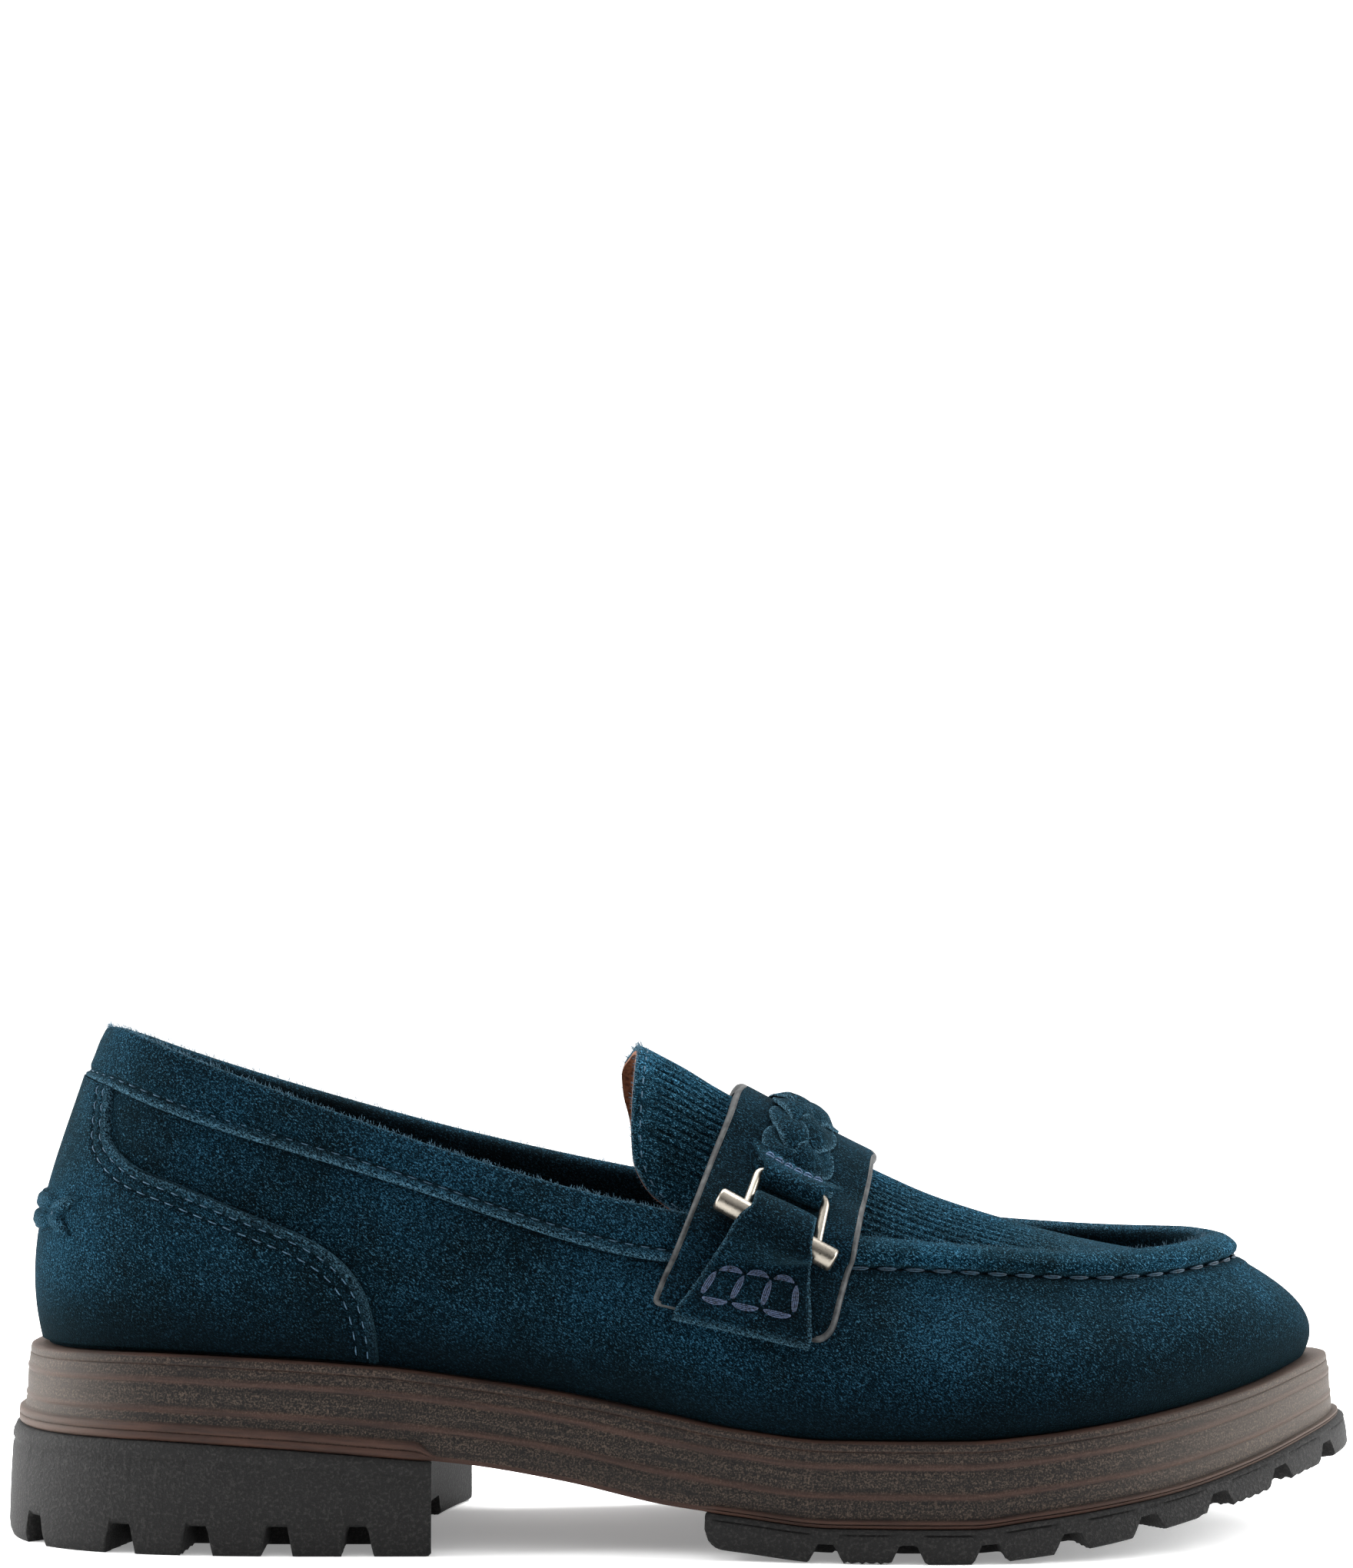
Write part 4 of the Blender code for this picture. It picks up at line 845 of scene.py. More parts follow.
rim_s = np.linspace(*RIM_SPAN, 720)
rim_grid = band(rim_s, rim_profile(RIM_ROWS, RIM_COLUMNS))
rim_column = np.arange(RIM_COLUMNS)[None, :]
rim_run = run_of(seam(rim_s))
pull = RIM_GATHER * np.cos(2 * math.pi * rim_run / RIM_STITCH)[:, None] * np.exp(-rim_column / RIM_PULL_FADE)
rim_grid -= outward(rim_s)[:, None, :] * pull[..., None]
crest = RIM_WORN["most"] * bell(rim_column - RIM_CREST, RIM_WORN["wide"]) + 0 * pull
far_inside = RIM_FAR_SHADE["most"] * smooth((rim_column - RIM_CREST + 2) / RIM_FAR_SHADE["columns"])
far_inside = far_inside * smooth((rim_s - RIM_FAR_SHADE["from"]) / RIM_FAR_SHADE["over"])[:, None]
fit(surface("moccasin_rim", rim_grid, top_lit_suede, fields={"highlight_and_fray": crest, "shade": far_inside}),
    "teal_suede", "upper")

apron_front = float(band(np.array([STATIONS / 2]), RIM_ROWS)[0, -2, 0]) - 0.5
apron_x = APRON_REAR + (apron_front - APRON_REAR) * np.sin(np.linspace(0, 1, 80) * math.pi / 2)
apron_share = np.linspace(-1, 1, 261)
apron_over = apron(apron_x[:, None] + 0 * apron_share, 0 * apron_x[:, None] + apron_share)
apron_under = apron_over - APRON_THICK * UP
to_toe = smooth((TUCKS_END[1] - apron_x) / (TUCKS_END[1] - TUCKS_END[0]))[:, None]
to_rim = smooth((1 - np.abs(apron_share)) / TUCK_TO_RIM)[None, :]
apron_tucks = tucks(apron_over, to_toe * to_rim)
apron_over -= grid_normal(apron_over) * apron_tucks[..., None]
# Painted shade in the hollow of the apron towards the toe, inside the rim, and in the tuck valleys.
toe_shade = TOE_SHADE["most"] * smooth((apron_x - TOE_SHADE["from"]) / TOE_SHADE["over"])[:, None]
apron_shade = np.maximum(toe_shade, TUCK_SHADE * apron_tucks / TUCK_DEEP)
fit(slab("apron", apron_over, apron_under, top_lit_suede, {"shade": apron_shade}), "teal_suede", "upper")

# Tongue. The apron's suede carried on behind the strap and cut to a round end, tucked in the same way, with a
# row of stitches near its edge and tan lining leather under it.
TONGUE_FRONT = 34.0
TONGUE_THICK = 1.3
TONGUE_LINING = 0.9
TONGUE_TUCKS = {"side": 0.3, "from": 1.5, "over": 5.0}
TONGUE_CUT = {"side": 0.02, "end": 0.7, "highlight_and_fray": 0.5}
TONGUE_END = table("share outer inner", [
    (0.00, -8.6, -8.6),
    (0.30, -9.2, -10.3),
    (0.50, -9.8, -12.3),
    (0.60, -10.1, -12.1),
    (0.70, -10.3, -11.0),
    (0.80, -10.0, -10.0),
    (0.89, -7.0, -7.0),
    (0.95, 0.0, 0.0),
    (1.00, 10.0, 10.0),
])


def tongue(x, share):
    """Tongue: the apron's arch behind the strap, share running -1 to 1 across it."""
    foot = through(x, CROWN["x"], CROWN["edge"])
    ridge = through(x, CROWN["x"], CROWN["ridge"])
    return np.stack([x, share * CROWN_HALF, foot + (ridge - foot) * (1 - np.abs(share) ** CROWN_POWER)], -1)


def tongue_end(share):
    """Where the tongue's round end lies at a share: the inner half reaches a little further back."""
    outer, inner = (through(np.abs(share), TONGUE_END["share"], TONGUE_END[key])
                    for key in ("outer", "inner"))
    return np.where(share < 0, outer, inner)


tongue_share = np.linspace(-1, 1, 261)[None, :]
tongue_from_end = (TONGUE_FRONT - tongue_end(tongue_share)) * np.linspace(0, 1, 64)[:, None] ** 1.5
tongue_over = tongue(tongue_end(tongue_share) + tongue_from_end, tongue_share + 0 * tongue_from_end)
tongue_up = grid_normal(tongue_over)
to_side = 1 - np.abs(tongue_share)
tuck_start = smooth((tongue_from_end - TONGUE_TUCKS["from"]) / TONGUE_TUCKS["over"])
tucked = tucks(tongue_over, smooth(to_side / TONGUE_TUCKS["side"]) * tuck_start)
cut_edge = np.maximum(1 - smooth(to_side / TONGUE_CUT["side"]),
                      1 - smooth(tongue_from_end / TONGUE_CUT["end"]))
tongue_piece = slab("tongue_top", tongue_over - tongue_up * tucked[..., None],
                    tongue_over - tongue_up * TONGUE_THICK, suede_look("tongue_suede_nap", tone=2.0),
                    {"highlight_and_fray": TONGUE_CUT["highlight_and_fray"] * cut_edge, "shade": TUCK_SHADE * tucked / TUCK_DEEP})
fit(tongue_piece, "tongue_suede", "tongue")
lining_over = (tongue_over - tongue_up * (TONGUE_THICK + 0.05))[:, ::3]
lining_under = (tongue_over - tongue_up * (TONGUE_THICK + TONGUE_LINING))[:, ::3]
tan_lining = lining_look("tan_lining", srgb(70, 42, 28), srgb(128, 84, 60))
fit(slab("tongue_lining", lining_over, lining_under, tan_lining), "tan_insole", "tongue")

# Collar band. A strip of suede folded over foam round the top line and stitched down along its lower edge,
# which stands as a narrow fold below the stitches. Its ends go in under the saddle strap.
BINDING_ROWS = table("inward lean upward height", [
    (1.3, 0.00, 0.7, 0.00),
    (-0.5, 0.00, 0.4, 0.00),
    (-0.5, 0.28, 0.0, 0.28),
    (-0.35, 0.62, 0.0, 0.62),
    (-0.15, 0.93, 0.0, 0.93),
    (0.6, 1.00, 0.0, 1.00),
    (2.2, 0.98, 0.0, 0.98),
    (3.9, 0.90, 0.0, 0.84),
    (5.2, 0.50, 0.0, 0.50),
    (5.1, 0.25, 0.0, 0.22),
    (4.0, 0.25, 0.0, 0.22),
    (3.8, 0.50, -1.0, 0.62),
    (3.4, 0.90, -1.4, 1.00),
    (1.3, 0.90, -1.4, 1.00),
    (1.3, 0.50, 0.0, 0.50),
])
BINDING_END = 4.45
FOLD_HIGH = (1.3, 2.4)
FOLD_GROOVE = 0.75
FOLD_PROUD = 0.4
FOLD_WIDE = 0.45
FOLD_WORN = (0.5, 0.2)
PAD_SWELL = 0.2
BINDING_OUTSIDE = (0.6, 5.6)
BINDING_INSIDE = (6.0, 14.5)
BINDING_TOP = 5.0
TOP_WORN = 0.3
INNER_SHADE = 0.75
GROOVE_SHADE = 0.6

binding_s = np.linspace(-BINDING_END, BINDING_END, 480)
binding_t = np.arange(64) * len(BINDING_ROWS["inward"]) / 64
binding_table = {key: periodic(values, binding_t) for key, values in BINDING_ROWS.items()}
binding_grid = band(binding_s, binding_table)
fold_high = FOLD_HIGH[0] + (FOLD_HIGH[1] - FOLD_HIGH[0]) * smooth(np.abs(binding_s) / 2.0)
above = binding_grid[..., 2] - seam(binding_s)[:, 2:]
over_fold = above - fold_high[:, None]
outer_face = ((binding_t > BINDING_OUTSIDE[0]) & (binding_t < BINDING_OUTSIDE[1]))[None, :] * 1.0
groove = FOLD_GROOVE * bell(over_fold, FOLD_WIDE)
swell = PAD_SWELL * smooth(over_fold / 2.0) * smooth((9.5 - above) / 3.0)
fold = FOLD_PROUD * smooth(-over_fold / 0.6)
binding_grid += outward(binding_s)[:, None, :] * (outer_face * (swell + fold - groove))[..., None]
fold_edge = FOLD_WORN[0] * bell(above - 0.5, FOLD_WIDE) + FOLD_WORN[1] * smooth((-over_fold - 0.3) / 0.6)
top_edge = TOP_WORN * bell(binding_t - BINDING_TOP, 0.5)[None, :]
inner_face = smooth(binding_t - BINDING_INSIDE[0]) * smooth((BINDING_INSIDE[1] - binding_t) / 0.5)
inner_shade = INNER_SHADE * inner_face[None, :]
groove_shade = GROOVE_SHADE * outer_face * bell(over_fold, 0.4)
collar_band = surface("collar_band", binding_grid, suede, fields={
    "highlight_and_fray": np.maximum(outer_face * fold_edge, top_edge), "shade": np.maximum(inner_shade, groove_shade)})
fit(collar_band, "binding_suede", "collar_binding")

# Heel counter and heel tab. A second layer of suede stiffens the heel, its edge turned and held by two rows
# of stitches. A small folded bar with notched ends is sewn across the back of it.
COUNTER_EDGE = table("x z", [
    (-117.2, 93.0),
    (-117.4, 84.5),
    (-112.7, 78.5),
    (-102.7, 74.5),
    (-87.9, 68.7),
    (-75.2, 63.5),
    (-68.0, 58.3),
    (-63.6, 51.2),
    (-61.8, 43.0),
    (-61.5, 38.6),
])
OVERLAY = 1.2
ROLL_HIGH = 0.35
STITCH_ROWS = (2.1, 4.4)
STITCH_GROOVE = 0.4
STITCH_WIDE = 0.45
STITCH_SHADE = 0.5
OVERLAY_SUNK = 0.3
COUNTER_WORN = table("most inwards wide", [
    (0.45, 0.3, 0.6),
    (0.12, 1.1, 0.8),
])
HEEL_TAB = {"y": -1.5, "z": 67.0, "half": 20.0, "notch": 3.0, "high": 3.9, "thick": 1.3, "cinch": 0.72}


def on_wall(axis, across, z, s, v):
    """Place (s, v) where the wall has a given x or y (axis 0 or 1) and z, by straight steps from a guess."""
    step = 0.001
    for _ in range(14):
        here = wall(s, v)
        along, rise = (wall(s + step, v) - here) / step, (wall(s, v + step) - here) / step
        miss, miss_z = across - here[..., axis], z - here[..., 2]
        whole = along[..., axis] * rise[..., 2] - rise[..., axis] * along[..., 2]
        s = s + np.clip((miss * rise[..., 2] - rise[..., axis] * miss_z) / whole, -0.3, 0.3)
        higher = np.clip((along[..., axis] * miss_z - miss * along[..., 2]) / whole, -0.2, 0.2)
        v = np.clip(v + higher, 0.005, 1)
    return s, v


def nearest(points, line):
    """Distance from each point to the nearest point of a line."""
    rows = [np.min(np.linalg.norm(line - row[:, None, :], axis=-1), axis=1) for row in points]
    return np.array(rows)


def eased(count):
    """Places from -1 to 1, closer together towards both ends."""
    return np.sin(np.linspace(-1, 1, count) * math.pi / 2)


edge_t = np.linspace(0, 1, 100)
edge_knots = run_of(np.stack([COUNTER_EDGE["x"], COUNTER_EDGE["z"]], 1))
edge_x = through(edge_t * edge_knots[-1], edge_knots, COUNTER_EDGE["x"])
edge_z = through(edge_t * edge_knots[-1], edge_knots, COUNTER_EDGE["z"])
edge_first = 1.0 + 1.9 * edge_t
counter_ends = [on_wall(0, edge_x, edge_z, edge_first * sign, 1 - 0.95 * edge_t) for sign in (1, -1)]
counter_u = eased(181)[None, :] * 0.5 + 0.5
counter_s, counter_v = (near[:, None] * (1 - counter_u) + far[:, None] * counter_u
                        for near, far in zip(*counter_ends))
counter_base = wall(counter_s, counter_v)
counter_lines = [wall(*end) for end in counter_ends]
to_edge = nearest(counter_base, np.concatenate(counter_lines))
lift = OVERLAY * smooth(0.35 + to_edge / 0.9) + ROLL_HIGH * bell(to_edge - 1.3, 1.0)
counter_worn = sum(most * bell(to_edge - inwards, wide)
                   for most, inwards, wide in zip(*COUNTER_WORN.values()))
counter_shade = foot_shade(counter_base)
for row in STITCH_ROWS:
    sewn = bell(to_edge - row, STITCH_WIDE)
    lift -= STITCH_GROOVE * sewn
    counter_shade = np.maximum(counter_shade, STITCH_SHADE * sewn)
counter_out = wall_normal(counter_s, counter_v)
counter = slab("heel_counter_overlay", counter_base + lift[..., None] * counter_out,
               counter_base - OVERLAY_SUNK * counter_out, suede,
               fields={"highlight_and_fray": counter_worn, "shade": counter_shade})
fit(counter, "overlay_suede", "heel_counter")

loop_t = np.linspace(-1, 1, 31)[:, None]
loop_u = np.linspace(-1, 1, 121)[None, :]
cinched = bell(np.abs(loop_u) - HEEL_TAB["cinch"], 0.09)
loop_high = HEEL_TAB["high"] * (0.92 - 0.2 * cinched + 0.1 * np.abs(loop_u) ** 6)
loop_y = HEEL_TAB["y"] + loop_u * (HEEL_TAB["half"] - HEEL_TAB["notch"] * (1 - np.abs(loop_t)))
loop_z = HEEL_TAB["z"] + loop_t * loop_high
loop_s, loop_v = on_wall(1, loop_y, loop_z, loop_y / -17.0, np.full(loop_y.shape, 0.5))
loop_base, loop_out = wall(loop_s, loop_v), wall_normal(loop_s, loop_v)
loop_edge = np.minimum(1 - np.abs(loop_t), 6 * (1 - np.abs(loop_u)))
loop_roll = 0.55 * smooth(loop_edge / 0.35) - 0.6 * bell(loop_t, 0.16) - 0.45 * cinched
loop_lift = OVERLAY + HEEL_TAB["thick"] * (0.6 + loop_roll)
loop_worn = 0.25 * bell(np.abs(loop_t) - 0.55, 0.3) * (1 - cinched)
heel_tab = slab("heel_tab_bar", loop_base + loop_lift[..., None] * loop_out,
                loop_base + (OVERLAY - OVERLAY_SUNK) * loop_out, suede, fields={"highlight_and_fray": loop_worn})
fit(heel_tab, "heel_tab_suede", "heel_tab")

# Saddle strap. A belt of suede over lining leather, laid across the instep from one wall to the other with
# rounded corners, its cut edges sealed with grey paint. The stitches of the toggle tabs hold its ends.
STRAP_EDGE = table("end_x end_z crown_x crown_z", [
    (-5.6, 51.1, 12.2, 93.1),
    (29.8, 42.9, 40.0, 78.3),
])
STRAP_OVER_BAND = table("out collar_lean rim_lean up height", [
    (1.7, 0.00, 0.00, 0.5, 0.00),
    (1.8, 0.50, 0.12, 0.0, 0.65),
    (0.6, 1.00, 1.00, 1.1, 1.00),
])
STRAP_AT_SEAM_Z = 60.0
STRAP_BELOW_SEAM = 1.5
STRAP_ON_WALL = (0.0, 0.5)
STRAP_CLEAR = 0.8
STRAP_OVER_TONGUE = 1.4
STRAP_THICK = 2.4
STRAP_CORNERS = (1.4, 3.2)
STRAP_ROLL = 0.35
SHOULDERS = (0.80, 0.55, 0.28)
RIM_BLEND = (4.35, 4.75)
PAINT_SECTION = ((-0.5, 0.0), (0.2, 0.2), (0.42, 0.7), (0.42, 1.4), (0.25, 2.0), (-0.15, 2.35), (-0.55, 2.4),
                 (-0.8, 2.2), (-0.6, 1.2))


def spline(x, xs, ys):
    """Smooth curve through points (xs, ys) at x: cubic pieces with even bend, straight at the ends."""
    xs, ys = np.asarray(xs, float), np.asarray(ys, float)
    flat = ys.reshape(len(xs), -1)
    step = np.diff(xs)
    system = np.diag(np.concatenate([[1.0], 2 * (step[:-1] + step[1:]), [1.0]]))
    system[np.arange(1, len(xs) - 1), np.arange(len(xs) - 2)] = step[:-1]
    system[np.arange(1, len(xs) - 1), np.arange(2, len(xs))] = step[1:]
    slope = np.diff(flat, axis=0) / step[:, None]
    bend = np.linalg.solve(system, np.vstack([0 * flat[:1], 6 * np.diff(slope, axis=0), 0 * flat[:1]]))
    x = np.clip(np.asarray(x, float), xs[0], xs[-1])
    k = np.clip(np.searchsorted(xs, x.ravel(), side="right") - 1, 0, len(xs) - 2)
    h = step[k][:, None]
    a, b = (xs[k + 1] - x.ravel())[:, None], (x.ravel() - xs[k])[:, None]
    value = (bend[k] * a ** 3 + bend[k + 1] * b ** 3) / (6 * h)
    value = value + (flat[k] / h - bend[k] * h / 6) * a + (flat[k + 1] / h - bend[k + 1] * h / 6) * b
    return value.reshape(x.shape + ys.shape[1:])


def strap_nodes(w):
    """Points that the strap's under side passes at a share w of its width, from outer to inner end."""
    end_x, end_z, crown_x, crown_z = (STRAP_EDGE[key][0] + w * (STRAP_EDGE[key][1] - STRAP_EDGE[key][0])
                                      for key in ("end_x", "end_z", "crown_x", "crown_z"))

    def lean_to(z):
        return end_x + (crown_x - end_x) * (z - end_z) / (crown_z - end_z)

    halves = []
    for side in (-1, 1):
        s_side = np.linspace(3.4, 5.8, 97) * -side
        s_seam = np.interp(lean_to(STRAP_AT_SEAM_Z), seam(s_side)[:, 0], s_side)
        top, out = seam(s_seam), outward(s_seam)
        on_rim = smooth((abs(s_seam) - RIM_BLEND[0]) / (RIM_BLEND[1] - RIM_BLEND[0]))
        points = []
        for share in STRAP_ON_WALL:
            z = end_z + share * (top[2] - STRAP_BELOW_SEAM - end_z)
            s_wall, v_wall = on_wall(0, lean_to(z), z, s_seam, np.array(0.5))
            points.append(wall_off(s_wall, v_wall, STRAP_CLEAR * (1 + share)))
        for outwards, collar_lean, rim_lean, upwards, height in zip(*STRAP_OVER_BAND.values()):
            inwards = (collar_lean + (rim_lean - collar_lean) * on_rim) * both("lean", s_seam)
            point = top + out * (outwards - inwards) + UP * (upwards + height * band_high(s_seam))
            point[0] = lean_to(point[2])
            points.append(point)
        for share in SHOULDERS:
            over = points[-1]
            for _ in range(5):
                x = np.array(lean_to(over[2]))
                under = tongue(x, np.array(share * side))
                edges = apron(np.array([x, x]), np.array([-1.0, 1.0]))[:, 1]
                in_front = apron(x, (2 * under[1] - edges.sum()) / (edges[1] - edges[0]))
                over = np.maximum(under, in_front) * UP + under * (1 - UP) + UP * STRAP_OVER_TONGUE
            points.append(over)
        halves.append(points)
    crown = np.array([crown_x, 0.0, crown_z - STRAP_THICK])
    return np.array(halves[0] + [crown] + halves[1][::-1])


strap_lines = np.stack([strap_nodes(w) for w in (0.0, 0.5, 1.0)], 1)
strap_run = run_of(strap_lines[:, 1])
strap_length = strap_run[-1]


def strap_base(d, w):
    """Under side of the strap at a distance d from its outer end and a share w of its width."""
    lines = spline(d, strap_run, strap_lines)
    weight = np.stack([2 * (w - 0.5) * (w - 1), 4 * w * (1 - w), 2 * w * (w - 0.5)], -1)
    return np.sum(lines * weight[..., None], axis=-2)


def strap_up(d, w):
    """Unit normal of the strap, and the unit vector along it."""
    inside = np.clip(d, 0.5, strap_length - 0.5)
    along = unit(strap_base(inside + 0.5, w) - strap_base(inside - 0.5, w))
    across = strap_base(inside, w + 0.02) - strap_base(inside, w - 0.02)
    return unit(np.cross(across, along)), along


def on_strap(d, w, lift):
    """Point at a height lift over the strap's under side, past its ends too."""
    d, w, lift = np.broadcast_arrays(np.asarray(d, float), np.asarray(w, float), np.asarray(lift, float))
    normal, along = strap_up(d, w)
    past = (d - np.clip(d, 0, strap_length))[..., None] * along
    return strap_base(d, w) + lift[..., None] * normal + past


def strap_width(d):
    """Width of the strap in millimetres at d."""
    return np.linalg.norm(strap_base(d, np.ones_like(d)) - strap_base(d, np.zeros_like(d)), axis=-1)


def corner_cut(d, radius):
    """How far a side of the strap draws in at its round corners."""
    to_end = np.clip(np.minimum(d, strap_length - d), 0, radius)
    return radius - np.sqrt(radius ** 2 - (radius - to_end) ** 2)


def paint_look():
    """Grey edge paint, slightly glossy and rubbed."""
    made, tree, place = blank_look("grey_edge_paint", {"Roughness": 0.6, "Specular IOR Level": 0.2})
    rubbed = noise(tree, place, 420.0, 4.0, 0.65)
    colour = ramp(tree, rubbed, [(0.32, srgb(18, 19, 20)), (0.48, srgb(40, 42, 43)), (0.7, srgb(62, 64, 64))])
    return wired(made, {"Base Color": colour, "Normal": bump(tree, rubbed, 0.2, 0.5)})


# A darker copy of the suede for the strap: painted shade, the strap lying in shade.
strap_suede = suede_look("shaded_strap_suede", tone=0.52)
corner_d = STRAP_CORNERS[1] * (1 - np.cos(np.linspace(0, math.pi / 2, 14)))
strap_d = np.concatenate([corner_d[:-1], np.linspace(STRAP_CORNERS[1], strap_length - STRAP_CORNERS[1], 170),
                          strap_length - corner_d[-2::-1]])
strap_u = eased(47) * 0.5 + 0.5
rear_cut, front_cut = ((corner_cut(strap_d, radius) / strap_width(strap_d))[:, None]
                       for radius in STRAP_CORNERS)
strap_w = rear_cut + strap_u[None, :] * (1 - rear_cut - front_cut)
strap_rows = strap_d[:, None] + 0 * strap_w
rolled = 1 - smooth(strap_u * (1 - strap_u) * 30)
strap_top = STRAP_THICK - STRAP_ROLL * rolled[None, :] + 0 * strap_w
strap = slab("saddle_strap_suede", on_strap(strap_rows, strap_w, strap_top),
             on_strap(strap_rows, strap_w, 0.0), strap_suede)
fit(strap, "strap_suede", "saddle_strap")

cut_d = np.concatenate([strap_rows[:, 0], strap_rows[-1, 1:-1], strap_rows[::-1, -1], strap_rows[0, -2:0:-1]])
cut_w = np.concatenate([strap_w[:, 0], strap_w[-1, 1:-1], strap_w[::-1, -1], strap_w[0, -2:0:-1]])
cut_line, cut_up = strap_base(cut_d, cut_w), strap_up(cut_d, cut_w)[0]
cut_out = unit(np.cross(cut_up, np.roll(cut_line, -1, axis=0) - np.roll(cut_line, 1, axis=0)))
cut_out *= np.sign(np.sum(cut_out * (cut_line - strap_base(cut_d, np.full_like(cut_w, 0.5)))))
paint = np.array(PAINT_SECTION)
paint_grid = (cut_line[:, None, :] + cut_out[:, None, :] * paint[None, :, :1]
              + cut_up[:, None, :] * paint[None, :, 1:])
strap_paint = surface("strap_edge_paint", paint_grid, paint_look(), round_rows=True, caps=False)
fit(strap_paint, "strap_suede", "saddle_strap")

# Toggles. On each side a turned bar of satin nickel with a wire link soldered into it. The tab holds the bar
# and the end of the braid is folded round the link.
SIDES = ((-1, "lateral"), (1, "medial"))
BAR_RADIUS = 2.4
BAR_ROUND = 0.7
BAR_LENGTH = 26.8
BAR_D = 19.0
BAR_W = 0.50
TILT = table("d skew", [
    (0.0, 0.0),
    (19.0, 10.4),
    (29.0, 12.5),
    (58.0, 0.0),
])
LINK_RADIUS = 0.9
LINK_SPREAD = 15.4
LINK_W = 0.53
LINK_BEND = 2.2
FOLD_D = 29.0
ON_STRAP = STRAP_THICK + GAP
BAR_LIFT = ON_STRAP + BAR_RADIUS + 0.4
BRAID_THICK = 1.2
FOLD_RADIUS = LINK_RADIUS + 0.4
FOLD_LIFT = ON_STRAP + FOLD_RADIUS + BRAID_THICK


def tilted(d, w):
    """Distance along the strap of a place whose level lines tilt forwards over the toggle."""
    d, w = np.broadcast_arrays(np.asarray(d, float), np.asarray(w, float))
    skew = through(np.minimum(d, strap_length - d), TILT["d"], TILT["skew"])
    return d + np.where(d < strap_length / 2, skew, -skew) * (0.5 - w)


def from_end(d, side):
    """Distance from the outer end of a place given as a distance from one side's own end."""
    return d if side < 0 else strap_length - d


def place_on(d, w, lift, side):
    """Point over the strap, by its distance from one side's end, tilted with the toggle."""
    return on_strap(tilted(from_end(d, side), w), w, lift)


def tube(name, path, radius, normal, look, sides=20):
    """Round bar along a path, with a radius at each of its points and a vector that shows which way is up."""
    along = unit(np.gradient(path, axis=0))
    beside = unit(np.cross(along, normal))
    over = np.cross(beside, along)
    turn = np.arange(sides) * 2 * math.pi / sides
    ring = beside[:, None, :] * np.cos(turn)[None, :, None] + over[:, None, :] * np.sin(turn)[None, :, None]
    return surface(name, path[:, None, :] + ring * np.asarray(radius)[:, None, None], look)


def bent(corners, radius):
    """Path through corners, each rounded by a curve that starts and ends a radius away from it."""
    path = [corners[:1]]
    t = np.linspace(0, 1, 9)[:, None]
    for before, here, after in zip(corners, corners[1:], corners[2:]):
        start, stop = here + radius * unit(before - here), here + radius * unit(after - here)
        path.append(start * (1 - t) ** 2 + 2 * here * t * (1 - t) + stop * t ** 2)
    return np.concatenate(path + [corners[-1:]])


def nickel_look():
    """Satin nickel, finely scratched."""
    made, tree, place = blank_look("satin_nickel_metal", {"Specular IOR Level": 0.5, "Metallic": 1.0})
    scratched = noise(tree, place, 1800.0, 3.0, 0.7)
    cloud = noise(tree, place, 160.0, 2.0, 0.5)
    return wired(made, {"Base Color": mix(tree, cloud, srgb(118, 113, 104), srgb(142, 136, 126)),
                        "Roughness": ramp(tree, scratched, [(0.3, 0.24), (0.7, 0.42)]),
                        "Normal": bump(tree, scratched, 0.04, 0.4)})


nickel = nickel_look()
for side, label in SIDES:
    bar_half = BAR_LENGTH / 2 / float(strap_width(np.array(from_end(BAR_D, side))))
    bar_ends = place_on(BAR_D, BAR_W + np.array([-bar_half, bar_half]), BAR_LIFT, side)
    bar_axis, bar_middle = unit(bar_ends[1] - bar_ends[0]), bar_ends.mean(axis=0)
    bar_up = strap_up(np.array(from_end(BAR_D, side)), np.array(BAR_W))[0]
    turn = np.linspace(0, math.pi / 2, 7)
    to_end = BAR_LENGTH / 2 - BAR_ROUND * (1 - np.cos(turn))
    bar_reach = np.concatenate([-to_end, to_end[::-1]])
    bar_radius = BAR_RADIUS - BAR_ROUND + BAR_ROUND * np.sin(np.concatenate([turn, turn[::-1]]))
    bar_path = bar_middle + bar_axis * bar_reach[:, None]
    bar = tube("toggle_bar_" + label, bar_path, bar_radius, bar_up, nickel, sides=32)
    fit(bar, "satin_nickel", "toggle_" + label)
    link_half = LINK_SPREAD / 2 / float(strap_width(np.array(from_end(FOLD_D, side))))
    link_w = LINK_W + link_half * np.array([-1, 1])
    feet = place_on(BAR_D, link_w, BAR_LIFT, side)
    feet = bar_middle + bar_axis * np.sum((feet - bar_middle) * bar_axis, axis=1)[:, None]
    heads = place_on(FOLD_D, link_w, FOLD_LIFT, side)
    link_path = bent(np.stack([feet[0], heads[0], heads[1], feet[1]]), LINK_BEND)
    link_radius = np.full(len(link_path), LINK_RADIUS)
    link = tube("toggle_link_" + label, link_path, link_radius, bar_up, nickel, sides=16)
    fit(link, "satin_nickel", "toggle_" + label)

